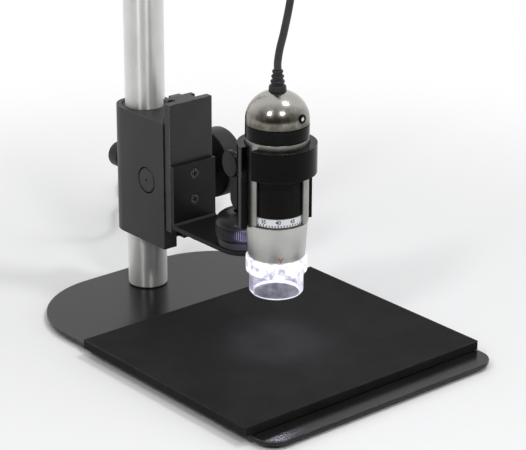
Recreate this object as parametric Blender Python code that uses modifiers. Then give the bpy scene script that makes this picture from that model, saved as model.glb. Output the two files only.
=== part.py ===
"""A handheld USB microscope in its clip, on a rack and pole stand with a steel base plate.

Metres, +Z up. The origin is under the middle of the stand, on the surface that it stands on.
The front of the base plate faces -Y and the pole stands near its back edge.
"""

import math

import bmesh
import bpy
from mathutils import Vector

# Clearances and small common sizes
SEAT_GAP = 0.0003
RUN_GAP = 0.0003
OVERRUN = 0.002
WELD = 0.000001
SHARP_ANGLE = math.radians(35)
QUARTER = math.pi / 2

# Base plate and its feet
PLATE_WIDTH = 0.1515
PLATE_FRONT = 0.1945
PLATE_BACK = 0.0233
PLATE_THICKNESS = 0.0022
PLATE_FRONT_RADIUS = 0.011
PLATE_BACK_RADIUS = 0.050
PLATE_EDGE = 0.0004
FOOT_RADIUS = 0.0055
FOOT_HEIGHT = 0.0020
FOOT_INSET = 0.0095
FOOT_EDGE = 0.0005
FOOT_MIDDLE_REACH = 0.078
FOOT_BACK_SPREAD = 0.036
FOOT_BACK_REACH = 0.010

# Stage pad, which lies a little to the left on the plate
PAD_WIDTH = 0.155
PAD_DEPTH = 0.130
PAD_THICKNESS = 0.0051
PAD_SHIFT = 0.0022
PAD_FRONT = 0.1805
PAD_EDGE = 0.0003

# Pole and the screw that holds it from below
POLE_RADIUS = 0.01069
POLE_LENGTH = 0.270
POLE_CHAMFER = 0.001
POLE_SCREW_RADIUS = 0.003
POLE_SCREW_HEAD = 0.0055
POLE_SCREW_LENGTH = 0.016
POLE_SCREW_SOCKET = 0.002
POLE_SCREW_SOCKET_DEPTH = 0.0016

# Carriage, an extrusion that runs on the pole
CARRIAGE_HEIGHT = 0.0685
CARRIAGE_LENGTH = 0.0705
CARRIAGE_HALF_WIDTH = 0.0148
CARRIAGE_BACK = 0.014
CARRIAGE_FRONT = 0.0349
CARRIAGE_CORNER = 0.012
BUSH_WALL = 0.0012
BUSH_LENGTH = 0.010
BUSH_RECESS = 0.0004

# Dovetail slide and its channel
SLIDE_RAISE = 0.011
SLIDE_HALF_WIDTH = 0.0141
SLIDE_PLATE = 0.0043
SLIDE_FRONT = 0.0398
SLIDE_NECK_HALF = 0.0062
SLIDE_NECK = 0.0037
SLIDE_HEAD_HALF = 0.0092
SLIDE_HEAD = 0.0035
RACK_HALF_WIDTH = 0.0034
RACK_BODY = 0.0026

# Rack and pinion drive
PINION_TEETH = 16
TOOTH_MODULE = 0.0006
TOOTH_RISE_SHARE = 0.9
TOOTH_FALL_SHARE = 1.15
TOOTH_ROOT_SHARE = 0.33
TOOTH_TIP_SHARE = 0.14
PINION_OFFSET = 0.0199
PINION_HALF_LENGTH = 0.0036
SHAFT_RADIUS = 0.0023
BEARING_WALL = 0.0030
PLUG_RADIUS = 0.007
PLUG_DEPTH = 0.0028
PLUG_DOT = 0.0008
PLUG_DOT_DEPTH = 0.0005
SLEEVE_FLANGE_RADIUS = 0.008
SLEEVE_FLANGE = 0.0046
SLEEVE_DEPTH = 0.0040

# Focus knob
KNOB_RADIUS = 0.01875
KNOB_FACE = 0.0263
KNOB_THICKNESS = 0.0117
KNOB_HUB_RADIUS = 0.007
KNOB_EDGE = 0.0010
KNOB_CAP = 0.0025
GRUB_RADIUS = 0.0014
GRUB_LENGTH = 0.0036
GRUB_SOCKET = 0.0007
GRUB_SOCKET_DEPTH = 0.0014

# Clamp knob at the back of the carriage
CLAMP_REACH = 0.0256
CLAMP_RADIUS = 0.007
CLAMP_THICKNESS = 0.0080
CLAMP_BOSS = 0.0045
CLAMP_SCREW_RADIUS = 0.0021
CLAMP_EDGE = 0.0008
CLAMP_TRAVEL = 0.0007
CLAMP_CAP = 0.0025

# Angle bracket with the arm
BRACKET_THICKNESS = 0.0024
BRACKET_HALF_WIDTH = 0.0140
BRACKET_LEG = 0.0350
BRACKET_RISE = 0.0023
BRACKET_BEND = 0.0022
ARM_REACH = 0.0835
BRACKET_SCREW_RADIUS = 0.0015
BRACKET_SCREW_HEAD = 0.0029
BRACKET_SCREW_CONE = 0.0014
BRACKET_SCREW_HIGH = 0.0288
BRACKET_SCREW_LOW = 0.0144
BRACKET_SCREW_BITE = 0.0013
CROSS_LENGTH = 0.0030
CROSS_WIDTH = 0.0006
CROSS_DEPTH = 0.0008

# Swivel head: base ring, lock ring, stem
HEAD_BASE_RADIUS = 0.0138
HEAD_BASE = 0.0037
HEAD_SPIGOT_RADIUS = 0.0105
HEAD_SPIGOT = 0.0050
HEAD_SCREW_RADIUS = 0.0020
HEAD_SCREW_HEAD = 0.0038
HEAD_SCREW_BITE = 0.0050
WASHER_THICKNESS = 0.0008
WASHER_WALL = 0.0045
STEM_FLANGE_RADIUS = 0.0095
STEM_FLANGE = 0.0015
STEM_RADIUS = 0.0040
LOCK_RADIUS = 0.0149
LOCK_SIDE = 0.0072
LOCK_GROOVE = 0.0006
LOCK_DOME = 0.0058
LOCK_MOUTH = 0.0057
LOCK_EDGE = 0.0005
LOCK_KNURLS = 40
LOCK_KNURL_DEPTH = 0.0003
FORK_HALF_WIDTH = 0.0052
FORK_RADIUS = 0.0053
FORK_LENGTH = 0.0252
FORK_SLOT_DEPTH = 0.0100
TILT_HEIGHT = 0.0444
TONGUE_HALF_WIDTH = 0.0023
TONGUE_RADIUS = 0.0048
TILT_BOLT_RADIUS = 0.0020
TILT_BOLT_HEAD_RADIUS = 0.0036
TILT_BOLT_HEAD = 0.0024
TILT_KNOB_RADIUS = 0.0070
TILT_KNOB_THICKNESS = 0.0037
TILT_KNOB_HUB = 0.0045
TILT_KNOB_STEP = 0.0009
TILT_KNOB_CAP = 0.0010
TILT_KNOB_EDGE = 0.0006

# Holder: a slotted ring over a half tube that clips round the barrel
SCOPE_OFFSET = 0.0306
SCOPE_DROP = 0.0605
PAN_TURN = math.radians(-7.5)
HOLDER_RADIUS = 0.0200
HOLDER_WALL = 0.0036
HOLDER_TOP = 0.0192
HOLDER_RING = 0.0152
HOLDER_BOTTOM = 0.0241
HOLDER_TURN = math.radians(-5.5)
HOLDER_SLOT = 0.0070
HOLDER_SLOT_TURN = math.radians(185.9)

# Microscope, built up from the rim of its clear cap
BARREL_RADIUS = 0.0159
BARREL_WALL = 0.0012
BARREL_OVER_BOARD = 0.0028
WINDOW_LIP = 0.0010
WINDOW_HALF_ANGLE = math.radians(48.5)
WINDOW_TURN = math.radians(-114.5)
BAND_RADIUS = 0.01605
BAND_WALL = 0.0014
BAND_HEIGHT = 0.0070
DOME_RADIUS = 0.0160
DOME_WALL = 0.0015
DOME_HEIGHT = 0.0157
DOME_STRAIGHT_SHARE = 0.10
DOME_MOUTH = 0.0045
TOUCH_RADIUS = 0.0024
TOUCH_PROUD = 0.0003
TOUCH_DEPTH = 0.0012
TOUCH_HEIGHT = 0.0045
TOUCH_TURN = math.radians(-72.3)
CONE_TOP_RADIUS = 0.0157
CONE_BOTTOM_RADIUS = 0.0144
CONE_BOTTOM = 0.0201
CONE_LENGTH = 0.0186
CONE_WALL = 0.0011
DIAL_WALL = 0.0015
DIAL_LENGTH = 0.0271
SCALE_HEIGHT = 0.0042
SCALE_RAISE = 0.0004
CARRIER_RADIUS = 0.0080
CARRIER_WALL = 0.0012
CARRIER_FLANGE = 0.0016
CARRIER_RAISE = 0.0011
CARRIER_LENGTH = 0.0140
LENS_THICKNESS = 0.0018
LENS_CROWN = 0.0008
LENS_HEIGHT = 0.0060
BOARD_THICKNESS = 0.0012
BOARD_OVER_DIAL = 0.0075
CHIP_SIDE = 0.0100
CHIP_THICKNESS = 0.0014
CAP_COLLAR_RADIUS = 0.0155
CAP_COLLAR = 0.0078
CAP_BODY_RADIUS = 0.0138
CAP_RIM_RADIUS = 0.0128
CAP_WALL = 0.0012
CAP_SPIGOT = 0.0040
CAP_RIM_HEIGHT = 0.0012
CAP_RIB_WIDTH = 0.0030
CAP_RIB_PROUD = 0.0006
CAP_RIB_TURN = math.radians(169)
LED_BOARD_THICKNESS = 0.0012
LED_BOARD_BORE = 0.0060
LED_COUNT = 8
LED_RADIUS = 0.0016
LED_LENGTH = 0.0016
LED_RING_SHARE = 0.69
RELIEF_BASE_RADIUS = 0.0042
RELIEF_TIP_RADIUS = 0.0028
RELIEF_LENGTH = 0.0107
RELIEF_FLANGE_RADIUS = 0.0060
RELIEF_FLANGE = 0.0014
RELIEF_SEAT = 0.0011
RELIEF_RIBS = 4
RELIEF_RIB_DEPTH_SHARE = 0.16

# Cable, coil and plug
CABLE_RADIUS = 0.0019
CABLE_STEP = 0.0085
COIL_PITCH = 0.0044
COIL_INNER_RADIUS = 0.0152
COIL_LAYER_STEPS = 45
COIL_LAYERS = 4
COIL_POINTS = 24
COIL_SWING = 0.0008
COIL_TAIL = 0.0100
COIL_CENTRE = (0.0861, 0.0909)
COIL_HEADING = math.radians(45)
TIE_THICKNESS = 0.0006
TIE_WIDTH = 0.0040
PLUG_GRIP_WIDTH = 0.0150
PLUG_GRIP_HEIGHT = 0.0078
PLUG_GRIP_LENGTH = 0.0240
PLUG_GRIP_EDGE = 0.0016
PLUG_SHELL_WIDTH = 0.0120
PLUG_SHELL_HEIGHT = 0.0045
PLUG_SHELL_LENGTH = 0.0150
PLUG_SHELL_WALL = 0.0004
PLUG_TONGUE_HEIGHT = 0.0018

# Facets round a turn
LARGE_FACETS = 36
MEDIUM_FACETS = 28
SMALL_FACETS = 16
TINY_FACETS = 12
CORNER_STEPS = 6
ROUND_CORNER_STEPS = 14

# Frame places worked out from the sizes
LEFT_REACH = PAD_WIDTH / 2 + PAD_SHIFT
RIGHT_REACH = PLATE_WIDTH / 2
POLE_X = (LEFT_REACH - RIGHT_REACH) / 2
POLE_Y = (PLATE_FRONT - CLAMP_REACH) / 2
PLATE_TOP = FOOT_HEIGHT + SEAT_GAP + PLATE_THICKNESS
BORE_RADIUS = POLE_RADIUS + RUN_GAP
BUSH_OUTER = BORE_RADIUS + BUSH_WALL
PITCH_RADIUS = PINION_TEETH * TOOTH_MODULE / 2
TOOTH_PITCH = math.pi * TOOTH_MODULE
TOOTH_RISE = TOOTH_MODULE * TOOTH_RISE_SHARE
TOOTH_FALL = TOOTH_MODULE * TOOTH_FALL_SHARE
SLIDE_BACK = SLIDE_FRONT - SLIDE_PLATE
NECK_BACK = SLIDE_BACK - SLIDE_NECK
HEAD_BACK = NECK_BACK - SLIDE_HEAD
BRACKET_BACK = SLIDE_FRONT + SEAT_GAP
BRACKET_FRONT = BRACKET_BACK + BRACKET_THICKNESS
HALF_LENGTH = CARRIAGE_LENGTH / 2
ARM_BOTTOM = BRACKET_RISE - HALF_LENGTH
ARM_TOP = ARM_BOTTOM + BRACKET_THICKNESS
BARREL_BORE = BARREL_RADIUS - BARREL_WALL
CONE_TOP = CONE_BOTTOM + CONE_LENGTH
BARREL_BOTTOM = CONE_TOP + SEAT_GAP
SCALE_BOTTOM = BARREL_BOTTOM + SCALE_RAISE
SCALE_TOP = SCALE_BOTTOM + SCALE_HEIGHT
DIAL_BOTTOM = SCALE_TOP + SEAT_GAP
DIAL_TOP = DIAL_BOTTOM + DIAL_LENGTH
WINDOW_TOP = DIAL_TOP - WINDOW_LIP
CARRIER_BOTTOM = DIAL_BOTTOM + CARRIER_RAISE
BOARD_BOTTOM = DIAL_TOP + BOARD_OVER_DIAL
BARREL_TOP = BOARD_BOTTOM + BOARD_THICKNESS + BARREL_OVER_BOARD


for leftover in list(bpy.data.objects):
    bpy.data.objects.remove(leftover, do_unlink=True)

parts = bpy.data.collections.new("usb_digital_microscope")
cutters = bpy.data.collections.new("cutters")
bpy.context.scene.collection.children.link(parts)
bpy.context.scene.collection.children.link(cutters)


def finish(name, colour, roughness, metallic=0.0, clear=0.0):
    """A plain material with the colour, roughness and metallic value of a finish."""
    made = bpy.data.materials.new(name)
    made.use_nodes = True
    shader = made.node_tree.nodes["Principled BSDF"]
    shader.inputs["Base Color"].default_value = (*colour, 1.0)
    shader.inputs["Roughness"].default_value = roughness
    shader.inputs["Metallic"].default_value = metallic
    shader.inputs["Transmission Weight"].default_value = clear
    return made


PLATE_PAINT = finish("plate_paint", (0.060, 0.058, 0.058), 0.35)
BLACK_MAT = finish("matte_black", (0.022, 0.022, 0.023), 0.75)
BLACK_RUBBER = finish("black_rubber", (0.015, 0.015, 0.015), 0.85)
ALUMINIUM = finish("satin_aluminium", (0.62, 0.62, 0.61), 0.32, 1.0)
BLACK_ANODISED = finish("black_anodised", (0.045, 0.045, 0.047), 0.45, 0.3)
BLACK_PLASTIC = finish("black_plastic", (0.012, 0.012, 0.013), 0.22)
STEEL = finish("steel", (0.45, 0.44, 0.43), 0.35, 1.0)
DARK_STEEL = finish("blackened_steel", (0.08, 0.08, 0.08), 0.40, 0.8)
BRASS = finish("brass", (0.60, 0.45, 0.20), 0.35, 1.0)
NYLON = finish("black_nylon", (0.028, 0.027, 0.026), 0.50)
GUNMETAL = finish("polished_gunmetal", (0.33, 0.32, 0.30), 0.12, 1.0)
SILVER_PAINT = finish("silver_paint", (0.48, 0.47, 0.43), 0.35, 0.6)
GLOSS_BLACK = finish("gloss_black", (0.010, 0.010, 0.011), 0.10)
WHITE_SCALE = finish("white_scale", (0.80, 0.82, 0.84), 0.50)
CLEAR_PLASTIC = finish("clear_plastic", (0.92, 0.92, 0.96), 0.05, 0.0, 0.9)
OPTICAL_GLASS = finish("optical_glass", (0.95, 0.96, 0.98), 0.02, 0.0, 1.0)
CIRCUIT_BOARD = finish("circuit_board", (0.02, 0.12, 0.06), 0.50)


def axis(name, parent, at=(0, 0, 0), turn=(0, 0, 0)):
    """An empty that carries a group of pieces or marks a joint's axis."""
    made = bpy.data.objects.new(name, None)
    made.parent = parent
    made.location = at
    made.rotation_euler = turn
    parts.objects.link(made)
    return made


def piece(name, mesh, look, parent, at=(0, 0, 0), turn=(0, 0, 0)):
    """One named sub-part, or with no look a cutter."""
    made = bpy.data.objects.new(name, mesh)
    made.parent = parent
    made.location = at
    made.rotation_euler = turn
    if look is None:
        cutters.objects.link(made)
        made.hide_render = True
        made.display_type = 'WIRE'
    else:
        mesh.materials.clear()
        mesh.materials.append(look)
        parts.objects.link(made)
    return made


def settle(made):
    """Turn an object's modifiers into mesh, so that its flat faces meet in sharp edges."""
    bpy.context.view_layer.update()
    shown = made.evaluated_get(bpy.context.evaluated_depsgraph_get())
    mesh = bpy.data.meshes.new_from_object(shown)
    made.modifiers.clear()
    made.data = mesh
    mesh.shade_smooth()
    mesh.set_sharp_from_angle(angle=SHARP_ANGLE)
    return made


def turned(name, profile, look, parent, facets, at=(0, 0, 0), turn=(0, 0, 0), ring=False):
    """A profile of (radius, height) points, turned round local Z. A ring's profile is a loop."""
    mesh = bpy.data.meshes.new(name)
    edges = [(step, step + 1) for step in range(len(profile) - 1)]
    if ring:
        edges.append((len(profile) - 1, 0))
    mesh.from_pydata([(radius, 0, height) for radius, height in profile], edges, [])
    made = piece(name, mesh, look, parent, at, turn)
    screw = made.modifiers.new("turn", 'SCREW')
    screw.axis = 'Z'
    screw.steps = facets
    screw.render_steps = facets
    screw.use_merge_vertices = True
    screw.merge_threshold = WELD
    return settle(made)


def rod(radius, low, high, edge=0):
    """The profile of a solid cylinder with chamfered ends."""
    if not edge:
        return [(0, high), (radius, high), (radius, low), (0, low)]
    return [(0, high), (radius - edge, high), (radius, high - edge),
            (radius, low + edge), (radius - edge, low), (0, low)]


def tube(outer, inner, low, high):
    """The looped profile of a tube."""
    return [(inner, high), (outer, high), (outer, low), (inner, low)]


def box(name, size, look, parent, at=(0, 0, 0), turn=(0, 0, 0)):
    """A box of the given size, centred on its place."""
    mesh = bpy.data.meshes.new(name)
    shape = bmesh.new()
    bmesh.ops.create_cube(shape, size=1)
    bmesh.ops.scale(shape, vec=size, verts=shape.verts)
    shape.to_mesh(mesh)
    shape.free()
    return piece(name, mesh, look, parent, at, turn)


def slab(name, outline, thickness, look, parent, at=(0, 0, 0), turn=(0, 0, 0)):
    """A flat outline in local XY, as thick as said and centred on its plane."""
    curve = bpy.data.curves.new(name, 'CURVE')
    curve.dimensions = '2D'
    curve.fill_mode = 'BOTH'
    curve.extrude = thickness / 2
    line = curve.splines.new('POLY')
    line.points.add(len(outline) - 1)
    for point, (x, y) in zip(line.points, outline):
        point.co = (x, y, 0, 1)
    line.use_cyclic_u = True
    return from_curve(name, curve, look, parent, at, turn)


def from_curve(name, curve, look, parent, at=(0, 0, 0), turn=(0, 0, 0)):
    """The mesh of a curve, with its caps welded to its sides."""
    guide = bpy.data.objects.new(name + "_guide", curve)
    cutters.objects.link(guide)
    bpy.context.view_layer.update()
    shown = guide.evaluated_get(bpy.context.evaluated_depsgraph_get())
    mesh = bpy.data.meshes.new_from_object(shown)
    bpy.data.objects.remove(guide, do_unlink=True)
    shape = bmesh.new()
    shape.from_mesh(mesh)
    bmesh.ops.remove_doubles(shape, verts=shape.verts, dist=WELD)
    bmesh.ops.recalc_face_normals(shape, faces=shape.faces)
    shape.to_mesh(mesh)
    shape.free()
    mesh.shade_smooth()
    mesh.set_sharp_from_angle(angle=SHARP_ANGLE)
    return piece(name, mesh, look, parent, at, turn)


def combine(made, other, operation='DIFFERENCE'):
    """Cut, join or keep the common part of a piece and a cutter."""
    change = made.modifiers.new(operation.lower(), 'BOOLEAN')
    change.operation = operation
    change.solver = 'EXACT'
    change.object = other
    return made


def soften(made, width, steps=1):
    """Round or chamfer a piece's sharp edges."""
    edge = made.modifiers.new("edge", 'BEVEL')
    edge.width = width
    edge.segments = steps
    edge.limit_method = 'ANGLE'
    return settle(made)


def arc(centre, radius, start, end, steps):
    """Points round part of a circle, from one angle to another in radians."""
    angles = [start + (end - start) * step / steps for step in range(steps + 1)]
    return [(centre[0] + radius * math.cos(turn), centre[1] + radius * math.sin(turn))
            for turn in angles]


# The stand's axis stands on the plate's top face, in the middle of the pole.
stand = axis("stand_axis", None, (POLE_X, POLE_Y, PLATE_TOP))

# Base plate: straight front with small corners, round back corners
front_x = PLATE_WIDTH / 2 - PLATE_FRONT_RADIUS
front_y = PLATE_FRONT_RADIUS - PLATE_FRONT
back_x = PLATE_WIDTH / 2 - PLATE_BACK_RADIUS
back_y = PLATE_BACK - PLATE_BACK_RADIUS
plate_outline = (
    arc((front_x, front_y), PLATE_FRONT_RADIUS, -QUARTER, 0, CORNER_STEPS)
    + arc((back_x, back_y), PLATE_BACK_RADIUS, 0, QUARTER, ROUND_CORNER_STEPS)
    + arc((-back_x, back_y), PLATE_BACK_RADIUS, QUARTER, math.pi, ROUND_CORNER_STEPS)
    + arc((-front_x, front_y), PLATE_FRONT_RADIUS, math.pi, 3 * QUARTER, CORNER_STEPS)
)
base_plate = slab("base_plate", plate_outline, PLATE_THICKNESS, PLATE_PAINT, stand,
                  (0, 0, -PLATE_THICKNESS / 2))
soften(base_plate, PLATE_EDGE)
pole_hole = turned("pole_screw_hole", [
    (0, OVERRUN), (POLE_SCREW_RADIUS + RUN_GAP, OVERRUN), (POLE_SCREW_RADIUS + RUN_GAP, 0),
    (POLE_SCREW_HEAD + RUN_GAP, -PLATE_THICKNESS), (POLE_SCREW_HEAD + RUN_GAP, -PLATE_THICKNESS - OVERRUN),
    (0, -PLATE_THICKNESS - OVERRUN)], None, stand, SMALL_FACETS)
combine(base_plate, pole_hole)

# Rubber feet: two in front, two under the middle of the sides, two under the back
foot_side = PLATE_WIDTH / 2 - FOOT_INSET
foot_front = FOOT_INSET - PLATE_FRONT
foot_places = {
    "foot_front_left": (-foot_side, foot_front),
    "foot_front_right": (foot_side, foot_front),
    "foot_middle_left": (-foot_side, -FOOT_MIDDLE_REACH),
    "foot_middle_right": (foot_side, -FOOT_MIDDLE_REACH),
    "foot_back_left": (-FOOT_BACK_SPREAD, PLATE_BACK - FOOT_BACK_REACH),
    "foot_back_right": (FOOT_BACK_SPREAD, PLATE_BACK - FOOT_BACK_REACH),
}
for foot_name, (foot_x, foot_y) in foot_places.items():
    turned(foot_name, rod(FOOT_RADIUS, 0, FOOT_HEIGHT, FOOT_EDGE), BLACK_RUBBER, stand,
           SMALL_FACETS, (foot_x, foot_y, -PLATE_TOP))

# Stage pad
stage_pad = box("stage_pad", (PAD_WIDTH, PAD_DEPTH, PAD_THICKNESS), BLACK_MAT, stand,
                (-PAD_SHIFT, PAD_DEPTH / 2 - PAD_FRONT, SEAT_GAP + PAD_THICKNESS / 2))
soften(stage_pad, PAD_EDGE)

# Pole with a tapped hole in its foot, and the countersunk screw that holds it
pole_bottom = SEAT_GAP
bore_depth = POLE_SCREW_LENGTH + OVERRUN
pole = turned("pole", [
    (0, POLE_LENGTH), (POLE_RADIUS - POLE_CHAMFER, POLE_LENGTH), (POLE_RADIUS, POLE_LENGTH - POLE_CHAMFER),
    (POLE_RADIUS, pole_bottom), (POLE_SCREW_RADIUS + RUN_GAP, pole_bottom),
    (POLE_SCREW_RADIUS + RUN_GAP, bore_depth), (0, bore_depth)], ALUMINIUM, stand, LARGE_FACETS)
pole_screw = turned("pole_screw", [
    (0, POLE_SCREW_LENGTH), (POLE_SCREW_RADIUS, POLE_SCREW_LENGTH), (POLE_SCREW_RADIUS, 0),
    (POLE_SCREW_HEAD, -PLATE_THICKNESS), (0, -PLATE_THICKNESS)], STEEL, stand, SMALL_FACETS)
pole_socket = turned("pole_screw_socket", rod(POLE_SCREW_SOCKET, -OVERRUN, POLE_SCREW_SOCKET_DEPTH),
                     None, stand, 6, (0, 0, -PLATE_THICKNESS))
combine(pole_screw, pole_socket)

# The carriage's axis is in the middle of its length, on the pole's axis.
carriage = axis("carriage_axis", stand, (0, 0, CARRIAGE_HEIGHT))

# Nylon bushes in the ends of the bore
bush_places = {
    "upper_bush": HALF_LENGTH - BUSH_RECESS - BUSH_LENGTH,
    "lower_bush": BUSH_RECESS - HALF_LENGTH,
}
for bush_name, bush_low in bush_places.items():
    turned(bush_name, tube(BUSH_OUTER, BORE_RADIUS, 0, BUSH_LENGTH), NYLON, carriage,
           LARGE_FACETS, (0, 0, bush_low), ring=True)

# Carriage body, whose front channel follows the slide's neck, head and rack with a running gap
mouth_half = SLIDE_NECK_HALF + RUN_GAP
channel_half = SLIDE_HEAD_HALF + RUN_GAP
channel_front = NECK_BACK + RUN_GAP
channel_back = HEAD_BACK - RUN_GAP
pocket_half = RACK_HALF_WIDTH + RUN_GAP
pocket_back = PINION_OFFSET + PITCH_RADIUS - TOOTH_RISE - RUN_GAP
corner_x = CARRIAGE_HALF_WIDTH - CARRIAGE_CORNER
corner_y = CARRIAGE_BACK - CARRIAGE_CORNER
channel = [(channel_half, -channel_front), (channel_half, -channel_back),
           (pocket_half, -channel_back), (pocket_half, -pocket_back)]
body_outline = (
    [(mouth_half, -CARRIAGE_FRONT), (CARRIAGE_HALF_WIDTH, -CARRIAGE_FRONT)]
    + arc((corner_x, corner_y), CARRIAGE_CORNER, 0, QUARTER, CORNER_STEPS)
    + arc((-corner_x, corner_y), CARRIAGE_CORNER, QUARTER, math.pi, CORNER_STEPS)
    + [(-CARRIAGE_HALF_WIDTH, -CARRIAGE_FRONT), (-mouth_half, -CARRIAGE_FRONT),
       (-mouth_half, -channel_front)]
    + [(-x, y) for x, y in channel]
    + list(reversed(channel))
    + [(mouth_half, -channel_front)]
)
carriage_body = slab("carriage_body", body_outline, CARRIAGE_LENGTH, BLACK_ANODISED, carriage)
bush_bore = BUSH_OUTER + RUN_GAP
bush_depth = HALF_LENGTH - BUSH_RECESS - BUSH_LENGTH - SEAT_GAP
middle_bore = POLE_RADIUS + 2 * RUN_GAP
bore_end = HALF_LENGTH + OVERRUN
body_bore = turned("carriage_bore", [
    (0, bore_end), (bush_bore, bore_end), (bush_bore, bush_depth), (middle_bore, bush_depth),
    (middle_bore, -bush_depth), (bush_bore, -bush_depth), (bush_bore, -bore_end), (0, -bore_end)],
    None, carriage, LARGE_FACETS)
combine(carriage_body, body_bore)

# The focus shaft's axis crosses the carriage in front of the pole.
focus = axis("focus_axis", carriage, (0, -PINION_OFFSET, 0), (0, QUARTER, 0))
pinion_pocket = PITCH_RADIUS + TOOTH_RISE + RUN_GAP
bearing_radius = SHAFT_RADIUS + RUN_GAP + BEARING_WALL
plug_face = -CARRIAGE_HALF_WIDTH
plug_inner = plug_face + PLUG_DEPTH
sleeve_inner = CARRIAGE_HALF_WIDTH - SLEEVE_DEPTH
drive_hole = turned("drive_hole", [
    (0, CARRIAGE_HALF_WIDTH + OVERRUN), (pinion_pocket, CARRIAGE_HALF_WIDTH + OVERRUN),
    (pinion_pocket, -PINION_HALF_LENGTH - RUN_GAP), (SHAFT_RADIUS + RUN_GAP, -PINION_HALF_LENGTH - RUN_GAP),
    (SHAFT_RADIUS + RUN_GAP, plug_inner + SEAT_GAP), (PLUG_RADIUS + SEAT_GAP, plug_inner + SEAT_GAP),
    (PLUG_RADIUS + SEAT_GAP, plug_face - OVERRUN), (0, plug_face - OVERRUN)], None, focus, MEDIUM_FACETS)
combine(carriage_body, drive_hole)

# Flush bearing plug on the left, with a centre dot
plug_wall = PLUG_DEPTH / 2
turned("bearing_plug", [
    (0, plug_face + plug_wall), (SHAFT_RADIUS + RUN_GAP, plug_face + plug_wall),
    (SHAFT_RADIUS + RUN_GAP, plug_inner), (PLUG_RADIUS, plug_inner), (PLUG_RADIUS, plug_face),
    (PLUG_DOT, plug_face), (PLUG_DOT, plug_face + PLUG_DOT_DEPTH),
    (0, plug_face + PLUG_DOT_DEPTH)], BLACK_ANODISED, focus, MEDIUM_FACETS)

# Flanged sleeve bearing on the right
flange_low = CARRIAGE_HALF_WIDTH + SEAT_GAP
flange_high = flange_low + SLEEVE_FLANGE
sleeve_outer = pinion_pocket - SEAT_GAP
turned("bearing_sleeve", [
    (SHAFT_RADIUS + RUN_GAP, flange_high), (SLEEVE_FLANGE_RADIUS, flange_high),
    (SLEEVE_FLANGE_RADIUS, flange_low), (sleeve_outer, flange_low), (sleeve_outer, sleeve_inner),
    (SHAFT_RADIUS + RUN_GAP, sleeve_inner)], BRASS, focus, MEDIUM_FACETS, ring=True)

# Pinion cut on the shaft. Its teeth and the rack's share one module.
root_half = TOOTH_PITCH * TOOTH_ROOT_SHARE
tip_half = TOOTH_PITCH * TOOTH_TIP_SHARE
pinion_root = PITCH_RADIUS - TOOTH_FALL
pinion_tip = PITCH_RADIUS + TOOTH_RISE
pinion_outline = []
for tooth in range(PINION_TEETH):
    middle = QUARTER + (tooth + 0.5) * 2 * math.pi / PINION_TEETH
    for radius, half in ((pinion_root, -root_half), (pinion_tip, -tip_half),
                         (pinion_tip, tip_half), (pinion_root, root_half)):
        turn = middle + half / radius
        pinion_outline.append((radius * math.cos(turn), radius * math.sin(turn)))
shaft_start = plug_face + plug_wall + RUN_GAP
shaft_end = KNOB_FACE + KNOB_THICKNESS - KNOB_CAP - RUN_GAP
pinion_shaft = turned("pinion_shaft", rod(SHAFT_RADIUS, shaft_start, shaft_end), STEEL, focus, SMALL_FACETS)
pinion_teeth = slab("pinion_teeth", pinion_outline, 2 * PINION_HALF_LENGTH, None, focus)
combine(pinion_shaft, pinion_teeth, 'UNION')

# Focus knob with its hub and grub screw
hub_low = flange_high + RUN_GAP
knob_high = KNOB_FACE + KNOB_THICKNESS
bore_high = knob_high - KNOB_CAP
focus_knob = turned("focus_knob", [
    (0, knob_high), (KNOB_RADIUS - KNOB_EDGE, knob_high), (KNOB_RADIUS, knob_high - KNOB_EDGE),
    (KNOB_RADIUS, KNOB_FACE + KNOB_EDGE), (KNOB_RADIUS - KNOB_EDGE, KNOB_FACE), (KNOB_HUB_RADIUS, KNOB_FACE),
    (KNOB_HUB_RADIUS, hub_low), (SHAFT_RADIUS + SEAT_GAP, hub_low), (SHAFT_RADIUS + SEAT_GAP, bore_high),
    (0, bore_high)], BLACK_PLASTIC, focus, LARGE_FACETS)
grub_place = (hub_low + KNOB_FACE) / 2
grub_hole = turned("knob_grub_hole", rod(GRUB_RADIUS + SEAT_GAP, 0, KNOB_HUB_RADIUS + OVERRUN), None, focus,
                   TINY_FACETS, (0, 0, grub_place), (QUARTER, 0, 0))
combine(focus_knob, grub_hole)
grub_start = SHAFT_RADIUS + SEAT_GAP
knob_grub_screw = turned("knob_grub_screw", rod(GRUB_RADIUS, grub_start, grub_start + GRUB_LENGTH), STEEL,
                         focus, TINY_FACETS, (0, 0, grub_place), (QUARTER, 0, 0))
grub_socket = turned("grub_socket", rod(GRUB_SOCKET, -GRUB_SOCKET_DEPTH, OVERRUN), None, knob_grub_screw, 6,
                     (0, 0, grub_start + GRUB_LENGTH))
combine(knob_grub_screw, grub_socket)

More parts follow.
